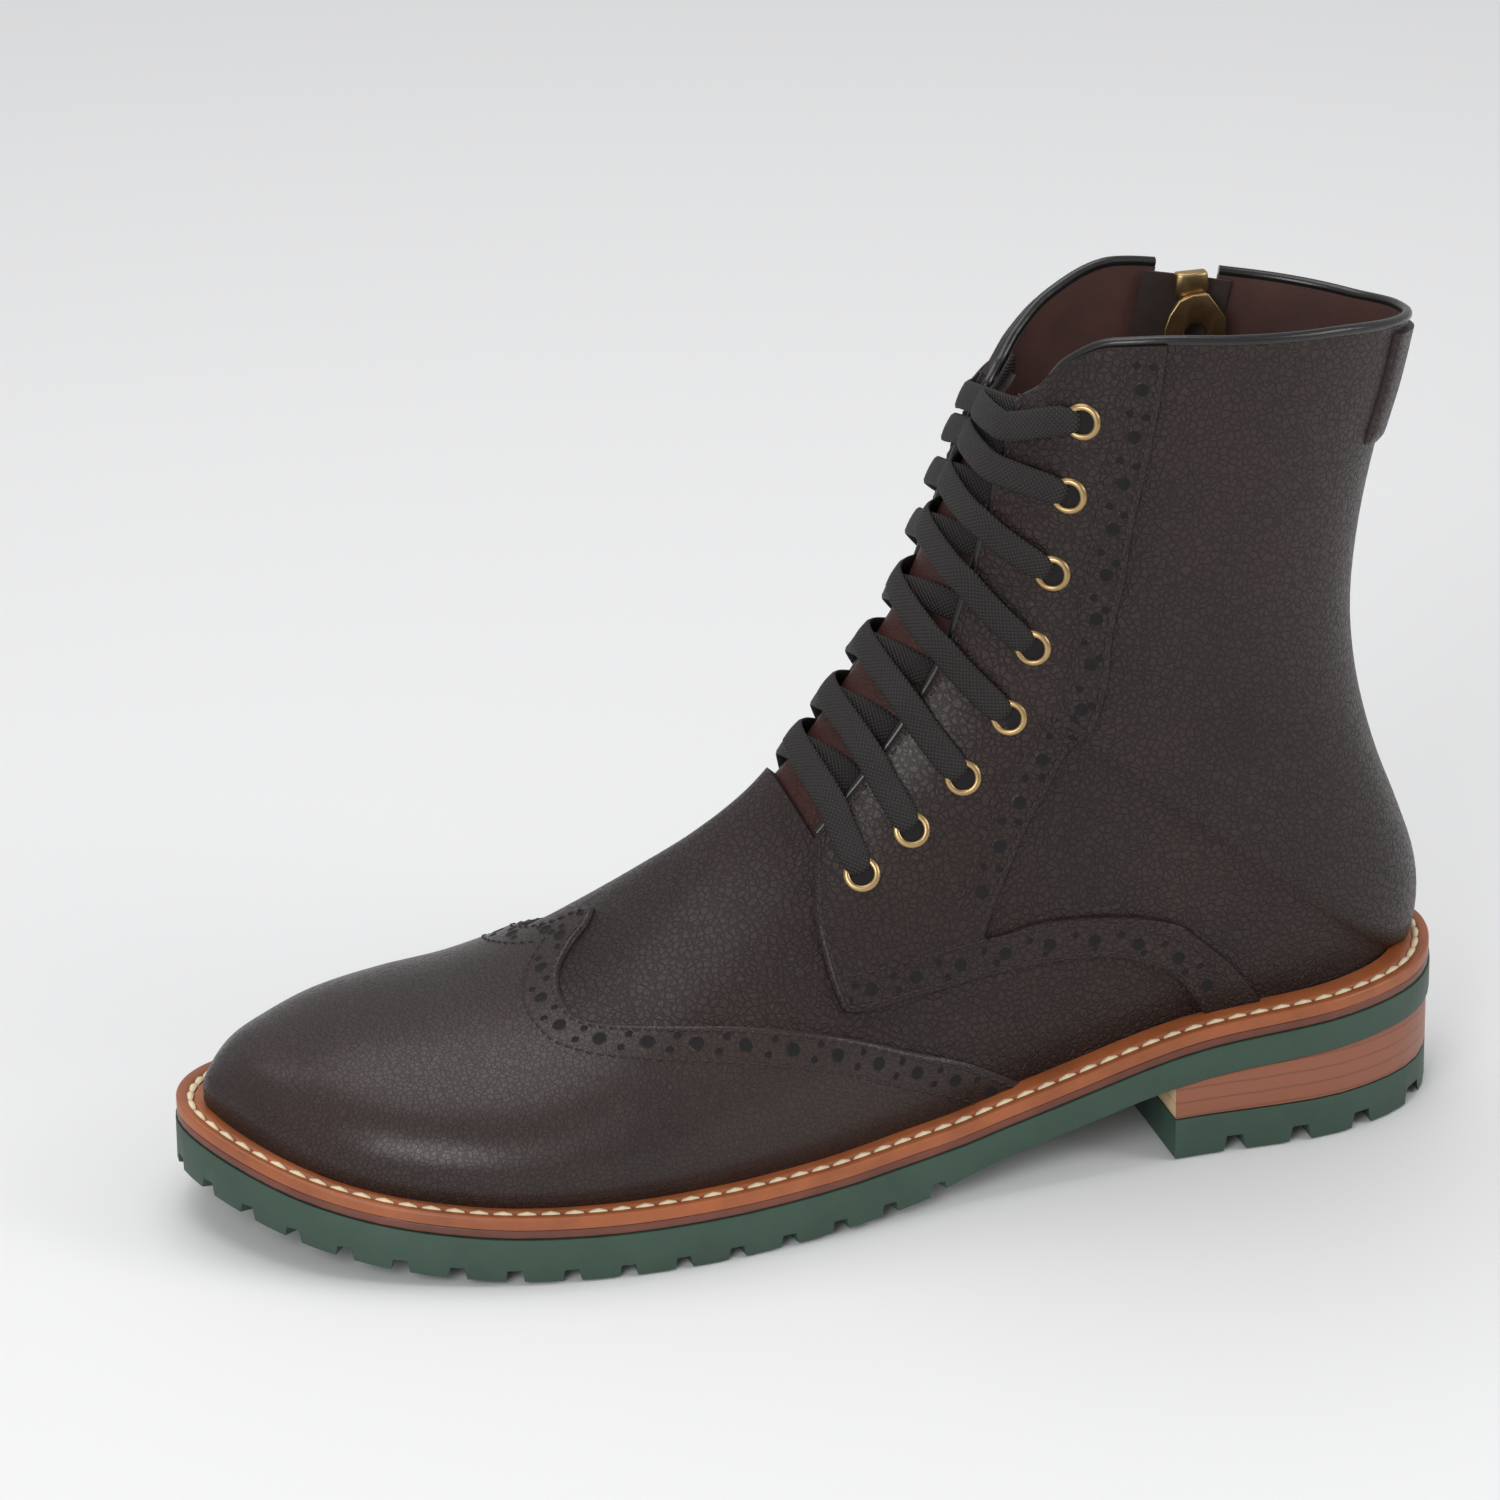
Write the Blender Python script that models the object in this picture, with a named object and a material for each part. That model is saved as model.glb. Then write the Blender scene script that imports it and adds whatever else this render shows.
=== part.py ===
"""Wingtip lace-up boot for the left foot, on a lugged sole with a stacked heel.

+X points to the toe, +Y to the outer side of the foot, +Z up, and the ground is Z = 0. Sizes are worked out from
the heel's back end and moved so that the origin is under the middle of the sole.
"""
import math

import bmesh
import bpy
import numpy as np
from mathutils import Vector

MM = 0.001

# Driving sizes of the last and of the finished boot
SOLE_LENGTH = 292 * MM
BALL_WIDTH = 108 * MM
INSTEP_HEIGHT = 95 * MM
BOOT_HEIGHT = 184 * MM
SHAFT_WIDTH = 68 * MM
HEEL_HEIGHT = 30 * MM
TOE_SPRING = 12 * MM
RIDGE_SHIFT = 8 * MM

# Sole pieces
TREAD_THICKNESS = 10 * MM
WAIST_THICKNESS = 7 * MM
MIDSOLE_THICKNESS = 2.3 * MM
WELT_THICKNESS = 2.4 * MM
WELT_WIDTH = 7.2 * MM
INSOLE_THICKNESS = 2.5 * MM
HEEL_BREAST = 72 * MM
TOP_PIECE_THICKNESS = 9.5 * MM
HEEL_GROOVE = 5 * MM
LUG_DEPTH = 2.6 * MM
LUG_PITCH = 12.6 * MM
NOTCH_WIDTH = 4.4 * MM
NOTCH_REACH = 14 * MM

# Upper pieces
WALL = 2.2 * MM
OVERLAY = 1.2 * MM
TONGUE_THICKNESS = 2 * MM
TONGUE_REACH = 9 * MM
THROAT_WIDTH = 38 * MM
PIPING_DIAMETER = 2.4 * MM
COLLAR_RISE = 8 * MM
BACK_TAB_WIDTH = 46 * MM

# Hardware
EYELET_OUTER = 8.8 * MM
EYELET_HOLE = 5.4 * MM
EYELET_SETBACK = 18.8 * MM
EYELET_CLOSE = 14 * MM
LACE_WIDTH = 6.4 * MM
LACE_THICKNESS = 1.5 * MM
ZIP_WIDTH = 15 * MM
PULL_LENGTH = 21 * MM
PULL_WIDTH = 14.5 * MM
PULL_THICKNESS = 1.4 * MM

# Room between touching pieces
GAP = 0.3 * MM
SEAT_GAP = 0.45 * MM
PIPING_GAP = 0.85 * MM
INSOLE_ROOM = 2.6 * MM
UPPER_TUCK = 2.2 * MM
TONGUE_ROOM = 0.8 * MM
HEEL_INSET = 0.6 * MM
WELT_OVERHANG = 0.3 * MM

# Tread pattern: where lugs begin along the boot, and the field inside them
LUG_START = 0.44
FIELD_START = 0.50
FIELD_STOP = 0.93
FIELD_BAYS = 8
FIELD_BAR = 6 * MM
FIELD_INSET = 17 * MM
NOTCH_OVERRUN = 3 * MM
HEEL_NOTCHES = (0.14, 0.36, 0.58, 0.80)
HEEL_NOTCH_DEPTH = 3.6 * MM
HEEL_NOTCH_REACH = 13 * MM

# Outline of the sole, seen from above, from the heel back round the outer side and home along the inner side
OUTLINE = {
    "length": (0.000, 0.029, 0.103, 0.242, 0.403, 0.548, 0.690, 0.823, 0.935, 1.000,
               0.961, 0.865, 0.735, 0.597, 0.435, 0.258, 0.103, 0.029),
    "width": (0.000, 0.204, 0.319, 0.340, 0.385, 0.472, 0.512, 0.454, 0.285, -0.030,
              -0.270, -0.425, -0.488, -0.425, -0.305, -0.310, -0.312, -0.204),
}

# Top of the tread layer along the boot: shares of the heel height, tread thickness and toe spring
SOLE_PROFILE = {
    "length": (0.00, 0.11, 0.19, 0.25, 0.28, 0.315, 0.35, 0.39, 0.43, 0.47, 0.54, 0.62, 0.70, 0.77, 0.85, 0.93, 1.0),
    "heel": (1.00, 0.957, 0.905, 0.825, 0.747, 0.64, 0.517, 0.38, 0.247, 0.163, 0.05, 0.0, 0.0, 0.0, 0.0, 0.0, 0.0),
    "tread": (0.00, 0.00, 0.00, 0.00, 0.05, 0.12, 0.25, 0.42, 0.60, 0.75, 0.93, 1.0, 1.0, 1.0, 1.0, 1.0, 1.0),
    "spring": (0.00, 0.00, 0.00, 0.00, 0.00, 0.00, 0.00, 0.00, 0.00, 0.00, 0.00, 0.0, 0.0, 0.04, 0.19, 0.53, 1.0),
}

# Thickness of the tread layer along the boot, as a blend from the waist's thickness to the tread's
TREAD_BLEND = {
    "length": (0.00, 0.40, 0.47, 1.00),
    "tread": (0.00, 0.00, 1.00, 1.00),
}

# Ridge of the last, from the toe tip over the instep to the front of the collar
RIDGE = {
    "length": (0.974, 0.973, 0.966, 0.947, 0.915, 0.874, 0.819, 0.765, 0.710, 0.662,
               0.621, 0.580, 0.539, 0.500, 0.464, 0.433, 0.410, 0.389, 0.370, 0.355),
    "instep": (0.285, 0.318, 0.345, 0.386, 0.414, 0.449, 0.470, 0.488, 0.547, 0.630,
               0.707, 0.787, 0.887, 1.031, 1.182, 1.334, 1.491, 1.663, 1.842, 2.011),
}

# Back line of the last, from the seat to the back of the collar
BACK = {
    "length": (0.0215, 0.0143, 0.0164, 0.0307, 0.0532, 0.0689, 0.0744, 0.0693, 0.0573, 0.0423, 0.0314),
    "height": (0.179, 0.234, 0.293, 0.364, 0.457, 0.554, 0.647, 0.745, 0.842, 0.924, 1.000),
}

# Sections of the last, fanned from the toe tip to the collar: how far each has come along the ridge, the
# rim and the back, where it is widest, its half widths as shares of the shaft, and its fullness
SECTIONS = {
    "station": (0.00, 0.10, 0.20, 0.30, 0.40, 0.50, 0.60, 0.68, 0.75, 0.80, 0.85, 0.90, 0.95, 1.00),
    "ridge": (0.00, 0.08, 0.17, 0.27, 0.37, 0.48, 0.59, 0.66, 0.72, 0.765, 0.815, 0.87, 0.935, 1.00),
    "rim": (0.00, 0.09, 0.18, 0.28, 0.38, 0.50, 0.64, 0.78, 0.91, 1.00, 1.00, 1.00, 1.00, 1.00),
    "back": (0.00, 0.00, 0.00, 0.00, 0.00, 0.00, 0.00, 0.00, 0.00, 0.00, 0.16, 0.42, 0.72, 1.00),
    "widest": (0.80, 0.78, 0.76, 0.74, 0.72, 0.70, 0.68, 0.64, 0.60, 0.56, 0.54, 0.52, 0.50, 0.48),
    "outer": (0.90, 0.90, 0.90, 0.90, 0.90, 0.90, 0.90, 0.92, 0.94, 0.95, 0.96, 0.96, 0.98, 1.00),
    "inner": (0.90, 0.90, 0.90, 0.90, 0.90, 0.90, 0.90, 0.92, 0.94, 0.95, 0.96, 0.96, 0.98, 1.00),
    "rear": (0.00, 0.00, 0.00, 0.00, 0.00, 0.00, 0.10, 0.40, 0.85, 1.00, 1.00, 1.00, 1.00, 1.00),
    "bulge": (0.00, 0.022, 0.032, 0.038, 0.041, 0.041, 0.041, 0.041, 0.041, 0.041, 0.00, 0.00, 0.00, 0.00),
    "front": (2.2, 2.2, 2.1, 2.0, 1.95, 1.9, 1.9, 1.95, 2.0, 2.05, 2.1, 2.1, 2.1, 2.1),
    "tail": (2.0, 2.0, 2.0, 2.0, 2.0, 2.1, 2.2, 2.3, 2.4, 2.4, 2.3, 2.2, 2.1, 2.1),
    "shift": (0.70, 0.80, 0.90, 1.00, 1.00, 1.00, 1.00, 0.95, 0.85, 0.78, 0.70, 0.60, 0.50, 0.45),
}

# The toe's first sections gather on the toe tip over this share of the stations
TOE_BLEND = 0.20

# Collar line, as a rise over its plain section
COLLAR_START = 0.80
COLLAR = {
    "girth": (0.00, 0.13, 0.20, 0.28, 0.42, 0.65, 0.85, 1.00),
    "outer": (-1.80, -1.50, -0.30, 0.45, 0.70, 0.70, 0.40, 0.00),
    "inner": (-2.30, -2.10, -1.40, -0.60, 0.15, -0.20, -0.30, 0.00),
}

# Front edges of the facings: girth from the ridge along the throat, as shares of the throat's width
THROAT = {
    "station": (0.56, 0.64, 0.75, 0.85, 0.92, 1.00),
    "outer": (0.655, 0.622, 0.587, 0.533, 0.467, 0.378),
    "inner": (0.360, 0.380, 0.380, 0.360, 0.330, 0.310),
}
THROAT_START = 0.574

# Where the zip runs down the inner side, and where it ends
ZIP_GIRTH = 0.555
ZIP_START = 0.80

# Edge of the wing cap, from the ridge to the rim
WING = {
    "girth": (0.00, 0.04, 0.09, 0.186, 0.282, 0.37, 0.425, 0.492, 0.572, 0.627, 0.702, 0.797, 0.863, 1.00),
    "station": (0.404, 0.396, 0.372, 0.351, 0.345, 0.349, 0.364, 0.401, 0.464, 0.502, 0.537, 0.567, 0.584, 0.606),
}

# Eyestay: its outer edge runs from the collar down the throat, round the corner and back to the rim, and its
# inner edge keeps a brogued band's width behind it
EYESTAY = {
    "way": (0.00, 0.10, 0.20, 0.30, 0.40, 0.52, 0.58, 0.64, 0.70, 0.76, 0.82, 0.88, 0.94, 1.00),
    "outer_station": (1.00, 0.933, 0.861, 0.782, 0.690, 0.574, 0.541, 0.532, 0.575, 0.622, 0.655, 0.680, 0.690, 0.684),
    "outer_girth": (0.00, 0.00, 0.00, 0.00, 0.00, 0.00, 0.40, 0.617, 0.655, 0.691, 0.732, 0.785, 0.860, 1.00),
    "inner_station": (1.00, 0.955, 0.908, 0.860, 0.800, 0.721, 0.676, 0.632, 0.660, 0.685, 0.706, 0.716, 0.716, 0.708),
    "inner_girth": (0.372, 0.388, 0.372, 0.332, 0.323, 0.409, 0.494, 0.612, 0.632, 0.665, 0.705, 0.753, 0.840, 1.00),
}

# Stations of the upper's mesh, close together at the toe tip
STATIONS = np.r_[0.0, 0.012, 0.03, 0.055, 0.085, np.linspace(0.12, 0.55, 13), THROAT_START,
                 np.linspace(0.61, ZIP_START, 7), np.linspace(0.82, 1.0, 9)]
WING_STEPS = 10
EYESTAY_STEPS = 41
EYESTAY_TURN = 0.52
EYESTAY_CORNER = 0.64
EYESTAY_CORNER_GIRTH = 0.617
EYESTAY_LAP = 0.90
HEM_HEIGHT = 4.2 * MM
REGION_DEPTH = 1.6 * MM
TONGUE_START = 0.50
TONGUE_STOP = 0.985
BACK_TAB_STATION = 0.967

# Stations of the eyelets, from the top pair down
EYELET_STATIONS = (0.963, 0.927, 0.884, 0.829, 0.763, 0.698, 0.640, 0.590)
EYELET_SIDES = 9
EYELET_LIFT = 0.7 * MM
EYELET_HEIGHT = 0.9 * MM

# A lace run: how far it has climbed to the next pair, how far it has crossed, and its height over the last
LACE_SINK = 0.4 * MM
LACE_PATH = (
    (0.10, -0.60, 3.4 * MM),
    (0.26, 0.02, 3.6 * MM),
    (0.50, 0.50, 0.2 * MM),
    (0.74, 0.80, -0.6 * MM),
)

# Zip: heights of its layers under the upper's face, and the size of its slider and guard
TAPE_THICKNESS = 0.8 * MM
TAPE_REACH = 3 * MM
TEETH_WIDTH = 5 * MM
TEETH_TOP = 0.6 * MM
GUARD_THICKNESS = 1.4 * MM
GUARD_REACH = 5 * MM
GUARD_STATION = 0.962
GUARD_ARCH = 0.022
SLIDER_STATION = 0.995
TAPE_STATION = 0.999
TEETH_STATION = 0.987
SLIDER_LENGTH = 9 * MM
SLIDER_WIDTH = 8 * MM
SLIDER_DEPTH = 3.2 * MM
SLIDER_ROOM = 0.9 * MM
PULL_HOLE = 5.4 * MM

# Outline of the zip's pull: shares of its length down and of its half width across
PULL = {
    "down": (0.00, 0.00, 0.28, 0.66, 1.00, 1.00, 0.66, 0.28),
    "across": (-0.42, 0.42, 1.00, 1.00, 0.50, -0.50, -1.00, -1.00),
}

# Counts of mesh columns round the upper's half girth
THROAT_COLUMNS = 2
FRONT_COLUMNS = 4
ZIP_COLUMNS = 1
REAR_COLUMNS = 4

# Plain finishes: red, green, blue, roughness and metallic
FINISHES = {
    "leather": (0.030, 0.014, 0.011, 0.45, 0.0),
    "tongue_leather": (0.045, 0.014, 0.010, 0.55, 0.0),
    "lining": (0.060, 0.022, 0.016, 0.80, 0.0),
    "piping": (0.008, 0.008, 0.009, 0.30, 0.0),
    "lace": (0.014, 0.011, 0.009, 0.85, 0.0),
    "welt": (0.420, 0.110, 0.035, 0.55, 0.0),
    "midsole": (0.160, 0.045, 0.028, 0.50, 0.0),
    "rubber": (0.030, 0.075, 0.050, 0.65, 0.0),
    "stack": (0.300, 0.110, 0.060, 0.50, 0.0),
    "brass": (0.400, 0.260, 0.110, 0.35, 1.0),
    "tape": (0.030, 0.016, 0.013, 0.90, 0.0),
}


# Curves

def monotone(at, xs, ys):
    """Smooth curve through a table's rows that never swings past them."""
    xs = np.asarray(xs, float)
    ys = np.asarray(ys, float)
    steps = np.diff(xs)
    slopes = np.diff(ys) / steps
    tangents = np.zeros(len(xs))
    for i in range(1, len(xs) - 1):
        if slopes[i - 1] * slopes[i] > 0:
            ahead = 2 * steps[i] + steps[i - 1]
            behind = steps[i] + 2 * steps[i - 1]
            tangents[i] = (ahead + behind) / (ahead / slopes[i - 1] + behind / slopes[i])
    tangents[0] = slopes[0]
    tangents[-1] = slopes[-1]
    at = np.clip(np.asarray(at, float), xs[0], xs[-1])
    i = np.clip(np.searchsorted(xs, at, side="right") - 1, 0, len(xs) - 2)
    h = steps[i]
    u = (at - xs[i]) / h
    return ((1 + 2 * u) * (1 - u) ** 2 * ys[i] + u * (1 - u) ** 2 * h * tangents[i]
            + u * u * (3 - 2 * u) * ys[i + 1] + u * u * (u - 1) * h * tangents[i + 1])


def smooth_path(points, per_span=24, closed=False):
    """Dense Catmull-Rom path through points, open or closed."""
    points = np.asarray(points, float)
    if closed:
        padded = np.vstack([points[-1:], points, points[:2]])
    else:
        padded = np.vstack([2 * points[0] - points[1], points, 2 * points[-1] - points[-2]])
    u = np.linspace(0, 1, per_span, endpoint=False)[:, None]
    out = []
    for a, b, c, d in zip(padded[:-3], padded[1:-2], padded[2:-1], padded[3:]):
        knots = np.cumsum([0.0] + [max(np.linalg.norm(q - p), 1e-9) ** 0.5 for p, q in ((a, b), (b, c), (c, d))])
        t = knots[1] + u * (knots[2] - knots[1])
        ab = (knots[1] - t) / (knots[1] - knots[0]) * a + (t - knots[0]) / (knots[1] - knots[0]) * b
        bc = (knots[2] - t) / (knots[2] - knots[1]) * b + (t - knots[1]) / (knots[2] - knots[1]) * c
        cd = (knots[3] - t) / (knots[3] - knots[2]) * c + (t - knots[2]) / (knots[3] - knots[2]) * d
        abc = (knots[2] - t) / (knots[2] - knots[0]) * ab + (t - knots[0]) / (knots[2] - knots[0]) * bc
        bcd = (knots[3] - t) / (knots[3] - knots[1]) * bc + (t - knots[1]) / (knots[3] - knots[1]) * cd
        out.append((knots[2] - t) / (knots[2] - knots[1]) * abc + (t - knots[1]) / (knots[2] - knots[1]) * bcd)
    if not closed:
        out.append(points[-1:])
    return np.vstack(out)


def along(path, share):
    """Point at a share of a path's length."""
    lengths = np.r_[0, np.cumsum(np.linalg.norm(np.diff(path, axis=0), axis=1))]
    at = np.asarray(share) * lengths[-1]
    return np.stack([np.interp(at, lengths, path[:, k]) for k in range(path.shape[1])], -1)


# Sole outline

def outline_path(inset=0.0):
    """Closed outline of the sole seen from above, moved inwards by inset."""
    table = np.stack([np.array(OUTLINE["length"]) * SOLE_LENGTH, np.array(OUTLINE["width"]) * BALL_WIDTH], 1)
    path = smooth_path(table, closed=True)
    tangent = np.roll(path, -1, 0) - np.roll(path, 1, 0)
    tangent /= np.linalg.norm(tangent, axis=1)[:, None]
    inward = np.stack([tangent[:, 1], -tangent[:, 0]], 1)
    return path + inward * inset


def outline_sides(inset=0.0):
    """Outer and inner halves of the outline, each from the toe tip to the heel back."""
    path = outline_path(inset)
    heel = np.argmin(path[:, 0])
    path = np.roll(path, -heel, axis=0)
    toe = np.argmax(path[:, 0])
    outer = path[:toe + 1][::-1]
    inner = np.vstack([path[toe:], path[:1]])
    return {1: outer, -1: inner}


def frame_origin():
    """Middle of the sole's outline on the ground, where the object's origin is."""
    path = outline_path()
    middle = (path.min(0) + path.max(0)) / 2
    return Vector((middle[0], middle[1], 0.0))


def tread_top(x):
    share = x / SOLE_LENGTH
    return (monotone(share, SOLE_PROFILE["length"], SOLE_PROFILE["heel"]) * HEEL_HEIGHT
            + monotone(share, SOLE_PROFILE["length"], SOLE_PROFILE["tread"]) * TREAD_THICKNESS
            + monotone(share, SOLE_PROFILE["length"], SOLE_PROFILE["spring"]) * TOE_SPRING)


def tread_bottom(x):
    blend = monotone(x / SOLE_LENGTH, TREAD_BLEND["length"], TREAD_BLEND["tread"])
    return tread_top(x) - WAIST_THICKNESS - (TREAD_THICKNESS - WAIST_THICKNESS) * blend


def seat_level(x):
    """Top of the midsole, where the upper and the insole stand."""
    return tread_top(x) + MIDSOLE_THICKNESS + SEAT_GAP


# Form of the last

RIDGE_PATH = smooth_path(np.stack([np.array(RIDGE["length"]) * SOLE_LENGTH,
                                   np.array(RIDGE["instep"]) * INSTEP_HEIGHT], 1))
BACK_PATH = smooth_path(np.stack([np.array(BACK["length"]) * SOLE_LENGTH,
                                  np.array(BACK["height"]) * BOOT_HEIGHT], 1))
RIM_PATHS = outline_sides(WELT_WIDTH + UPPER_TUCK)
TIP_Y = RIM_PATHS[1][0, 1]
SECTION_STEPS = 24


def section_value(name, station):
    return monotone(station, SECTIONS["station"], SECTIONS[name])


def section_lines(station, side):
    """Whole section curves, one per station, from the ridge to the rim or the back line."""
    rear = section_value("rear", station)
    front = along(RIDGE_PATH, section_value("ridge", station))
    rim = along(RIM_PATHS[side], section_value("rim", station))
    back = along(BACK_PATH, section_value("back", station))
    closed = section_value("back", station) > 0
    tip = np.clip(station / TOE_BLEND, 0, 1)
    ridge_y = TIP_Y * (1 - tip) - RIDGE_SHIFT * section_value("shift", station) * tip
    axis_y = ridge_y * (1 - rear)
    end_x = np.where(closed, back[:, 0], rim[:, 0])
    end_z = np.where(closed, back[:, 1], seat_level(rim[:, 0]))
    end_y = np.where(closed, 0.0, np.maximum(side * (rim[:, 1] - axis_y), 0.0))
    half = section_value("outer" if side > 0 else "inner", station) * SHAFT_WIDTH / 2
    width = (1 - rear) * (end_y + section_value("bulge", station) * BALL_WIDTH) + rear * half
    width = np.maximum(width, end_y * 1.002 + 1e-9)
    widest = section_value("widest", station)
    nose = 2 / section_value("front", station)
    tail = 2 / section_value("tail", station)
    last_angle = math.pi - np.arcsin(np.clip((end_y / width) ** (1 / tail), 0, 1))

    turn = np.linspace(0, math.pi / 2, SECTION_STEPS + 1)[None, :]
    front_y = ridge_y[:, None] + (axis_y + side * width - ridge_y)[:, None] * np.sin(turn) ** nose[:, None]
    front_c = widest[:, None] * (1 - np.cos(turn) ** nose[:, None])
    turn = math.pi / 2 + (last_angle[:, None] - math.pi / 2) * np.linspace(0, 1, SECTION_STEPS + 1)[None, 1:]
    tail_y = axis_y[:, None] + side * width[:, None] * np.abs(np.sin(turn)) ** tail[:, None]
    reach = (1 - widest) / np.abs(np.cos(last_angle)) ** tail
    tail_c = widest[:, None] + reach[:, None] * np.abs(np.cos(turn)) ** tail[:, None]
    chord = np.hstack([front_c, tail_c])
    lines = np.empty(chord.shape + (3,))
    lines[..., 0] = front[:, :1] + (end_x - front[:, 0])[:, None] * chord
    lines[..., 1] = np.hstack([front_y, tail_y])
    lines[..., 2] = front[:, 1:] + (end_z - front[:, 1])[:, None] * chord
    return lines


def girth_length(station, side=1):
    """Length of the section curve at a station."""
    lines = section_lines(np.atleast_1d(np.asarray(station, float)), side)
    return np.linalg.norm(np.diff(lines, axis=1), axis=2).sum(1)


def last_point(station, girth, side):
    """Point of the last's surface: station runs from toe to collar, girth from the ridge to the rim or back."""
    station, girth = np.broadcast_arrays(np.asarray(station, float), np.asarray(girth, float))
    shape = station.shape
    station = np.clip(station.ravel(), 0, 1)
    girth = np.clip(girth.ravel(), 0, 1)
    lines = section_lines(station, side)
    lengths = np.linalg.norm(np.diff(lines, axis=1), axis=2).cumsum(1)
    lengths = np.hstack([np.zeros((len(station), 1)), lengths])
    lengths /= np.maximum(lengths[:, -1:], 1e-9)
    i = np.clip((lengths <= girth[:, None]).sum(1) - 1, 0, lengths.shape[1] - 2)
    row = np.arange(len(station))
    share = (girth - lengths[row, i]) / np.maximum(lengths[row, i + 1] - lengths[row, i], 1e-12)
    point = lines[row, i] + (lines[row, i + 1] - lines[row, i]) * share[:, None]
    lift = np.clip((station - COLLAR_START) / (1 - COLLAR_START), 0, 1) ** 2
    rise = monotone(girth, COLLAR["girth"], COLLAR["outer" if side > 0 else "inner"])
    point[:, 2] += rise * COLLAR_RISE * lift
    return point.reshape(shape + (3,))


def last_normal(station, girth, side):
    """Direction straight out of the last's surface."""
    station, girth = np.broadcast_arrays(np.asarray(station, float), np.asarray(girth, float))
    step = 0.004
    s0 = np.clip(station - step, step, 1)
    s1 = np.clip(station + step, step, 1)
    g0 = np.clip(girth - step, 0, 1)
    g1 = np.clip(girth + step, 0, 1)
    s0 = np.where(s1 - s0 < step, s1 - step, s0)
    station = np.clip(station, step, 1)
    along_station = last_point(s1, girth, side) - last_point(s0, girth, side)
    along_girth = last_point(station, g1, side) - last_point(station, g0, side)
    normal = np.cross(along_girth, along_station) * side
    return normal / np.maximum(np.linalg.norm(normal, axis=-1, keepdims=True), 1e-12)


def shell_point(station, girth, side, offset=0.0):
    """Point at a height over the last's surface."""
    return last_point(station, girth, side) + offset * last_normal(station, girth, side)


# Lines on the last, as girth shares

def throat_edge(station, side):
    """Where the facing's front edge runs."""
    arc = monotone(station, THROAT["station"], THROAT["outer" if side > 0 else "inner"]) * THROAT_WIDTH
    return arc / girth_length(station, side)


def eyelet_setback(station):
    """Distance of the eyelets from the facing's edge, less towards the foot of the facing."""
    return np.interp(station, (0.59, 0.75), (EYELET_CLOSE, EYELET_SETBACK))


def zip_edges(station):
    """The two edges of the zip's slot on the inner side."""
    half = ZIP_WIDTH / 2 / girth_length(station, -1)
    return ZIP_GIRTH - half, ZIP_GIRTH + half


def columns(station, side):
    """Girth shares of the upper's own columns: two over the throat, then on past the zip to the rim."""
    throat = throat_edge(np.maximum(station, THROAT_START), side)[:, None]
    ahead, behind = (edge[:, None] for edge in zip_edges(np.maximum(station, ZIP_START)))
    return np.hstack([throat * np.linspace(0, 1, THROAT_COLUMNS + 1)[None, :],
                      throat + (ahead - throat) * np.linspace(0, 1, FRONT_COLUMNS + 1)[None, 1:],
                      ahead + (behind - ahead) * np.linspace(0, 1, ZIP_COLUMNS + 1)[None, 1:],
                      behind + (1 - behind) * np.linspace(0, 1, REAR_COLUMNS + 1)[None, 1:]])


# Meshes

def clear_scene():
    for obj in list(bpy.data.objects):
        bpy.data.objects.remove(obj, do_unlink=True)


def new_collection(name):
    collection = bpy.data.collections.new(name)
    bpy.context.scene.collection.children.link(collection)
    return collection


def material(name):
    """Plain finish of a part, from the table of finishes."""
    if name in bpy.data.materials:
        return bpy.data.materials[name]
    red, green, blue, roughness, metallic = FINISHES[name]
    made = bpy.data.materials.new(name)
    made.use_nodes = True
    shader = made.node_tree.nodes["Principled BSDF"]
    shader.inputs["Base Color"].default_value = (red, green, blue, 1)
    shader.inputs["Roughness"].default_value = roughness
    shader.inputs["Metallic"].default_value = metallic
    made.diffuse_color = (red, green, blue, 1)
    return made


def finish_object(name, mesh, finish, collection=None, smooth=40):
    """Object from a mesh, with its material and its round parts shaded smooth."""
    mesh.shade_smooth()
    mesh.set_sharp_from_angle(angle=math.radians(smooth))
    obj = bpy.data.objects.new(name, mesh)
    (collection or PARTS).objects.link(obj)
    mesh.materials.append(material(finish))
    return obj


def mesh_from(name, points, faces):
    """Closed mesh from points and faces, with doubles merged and every face pointing out."""
    bm = bmesh.new()
    verts = [bm.verts.new(Vector(point) - ORIGIN) for point in points]
    for face in faces:
        corners = [verts[i] for k, i in enumerate(face) if i != face[k - 1]]
        if len(corners) > 2:
            bm.faces.new(corners)
    bmesh.ops.remove_doubles(bm, verts=bm.verts, dist=0.000002)
    bmesh.ops.recalc_face_normals(bm, faces=bm.faces)
    mesh = bpy.data.meshes.new(name)
    bm.to_mesh(mesh)
    bm.free()
    return mesh


def loft(rings, caps=True):
    """Points and faces of a solid through closed rings with equal counts."""
    count = len(rings[0])
    points = [tuple(point) for ring in rings for point in ring]
    faces = []
    for i in range(len(rings) - 1):
        for j in range(count):
            a = i * count + j
            b = i * count + (j + 1) % count
            faces.append((a, b, b + count, a + count))
    if caps:
        faces.append(tuple(range(count)))
        faces.append(tuple(range(len(points) - count, len(points))))
    return points, faces


def ring_solid(rings):
    """Points and faces of a closed hoop through rings with equal counts."""
    count = len(rings[0])
    total = len(rings) * count
    points = [tuple(point) for ring in rings for point in ring]
    faces = []
    for i in range(len(rings)):
        for j in range(count):
            a = i * count + j
            b = i * count + (j + 1) % count
            faces.append((a, b, (b + count) % total, (a + count) % total))
    return points, faces


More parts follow.
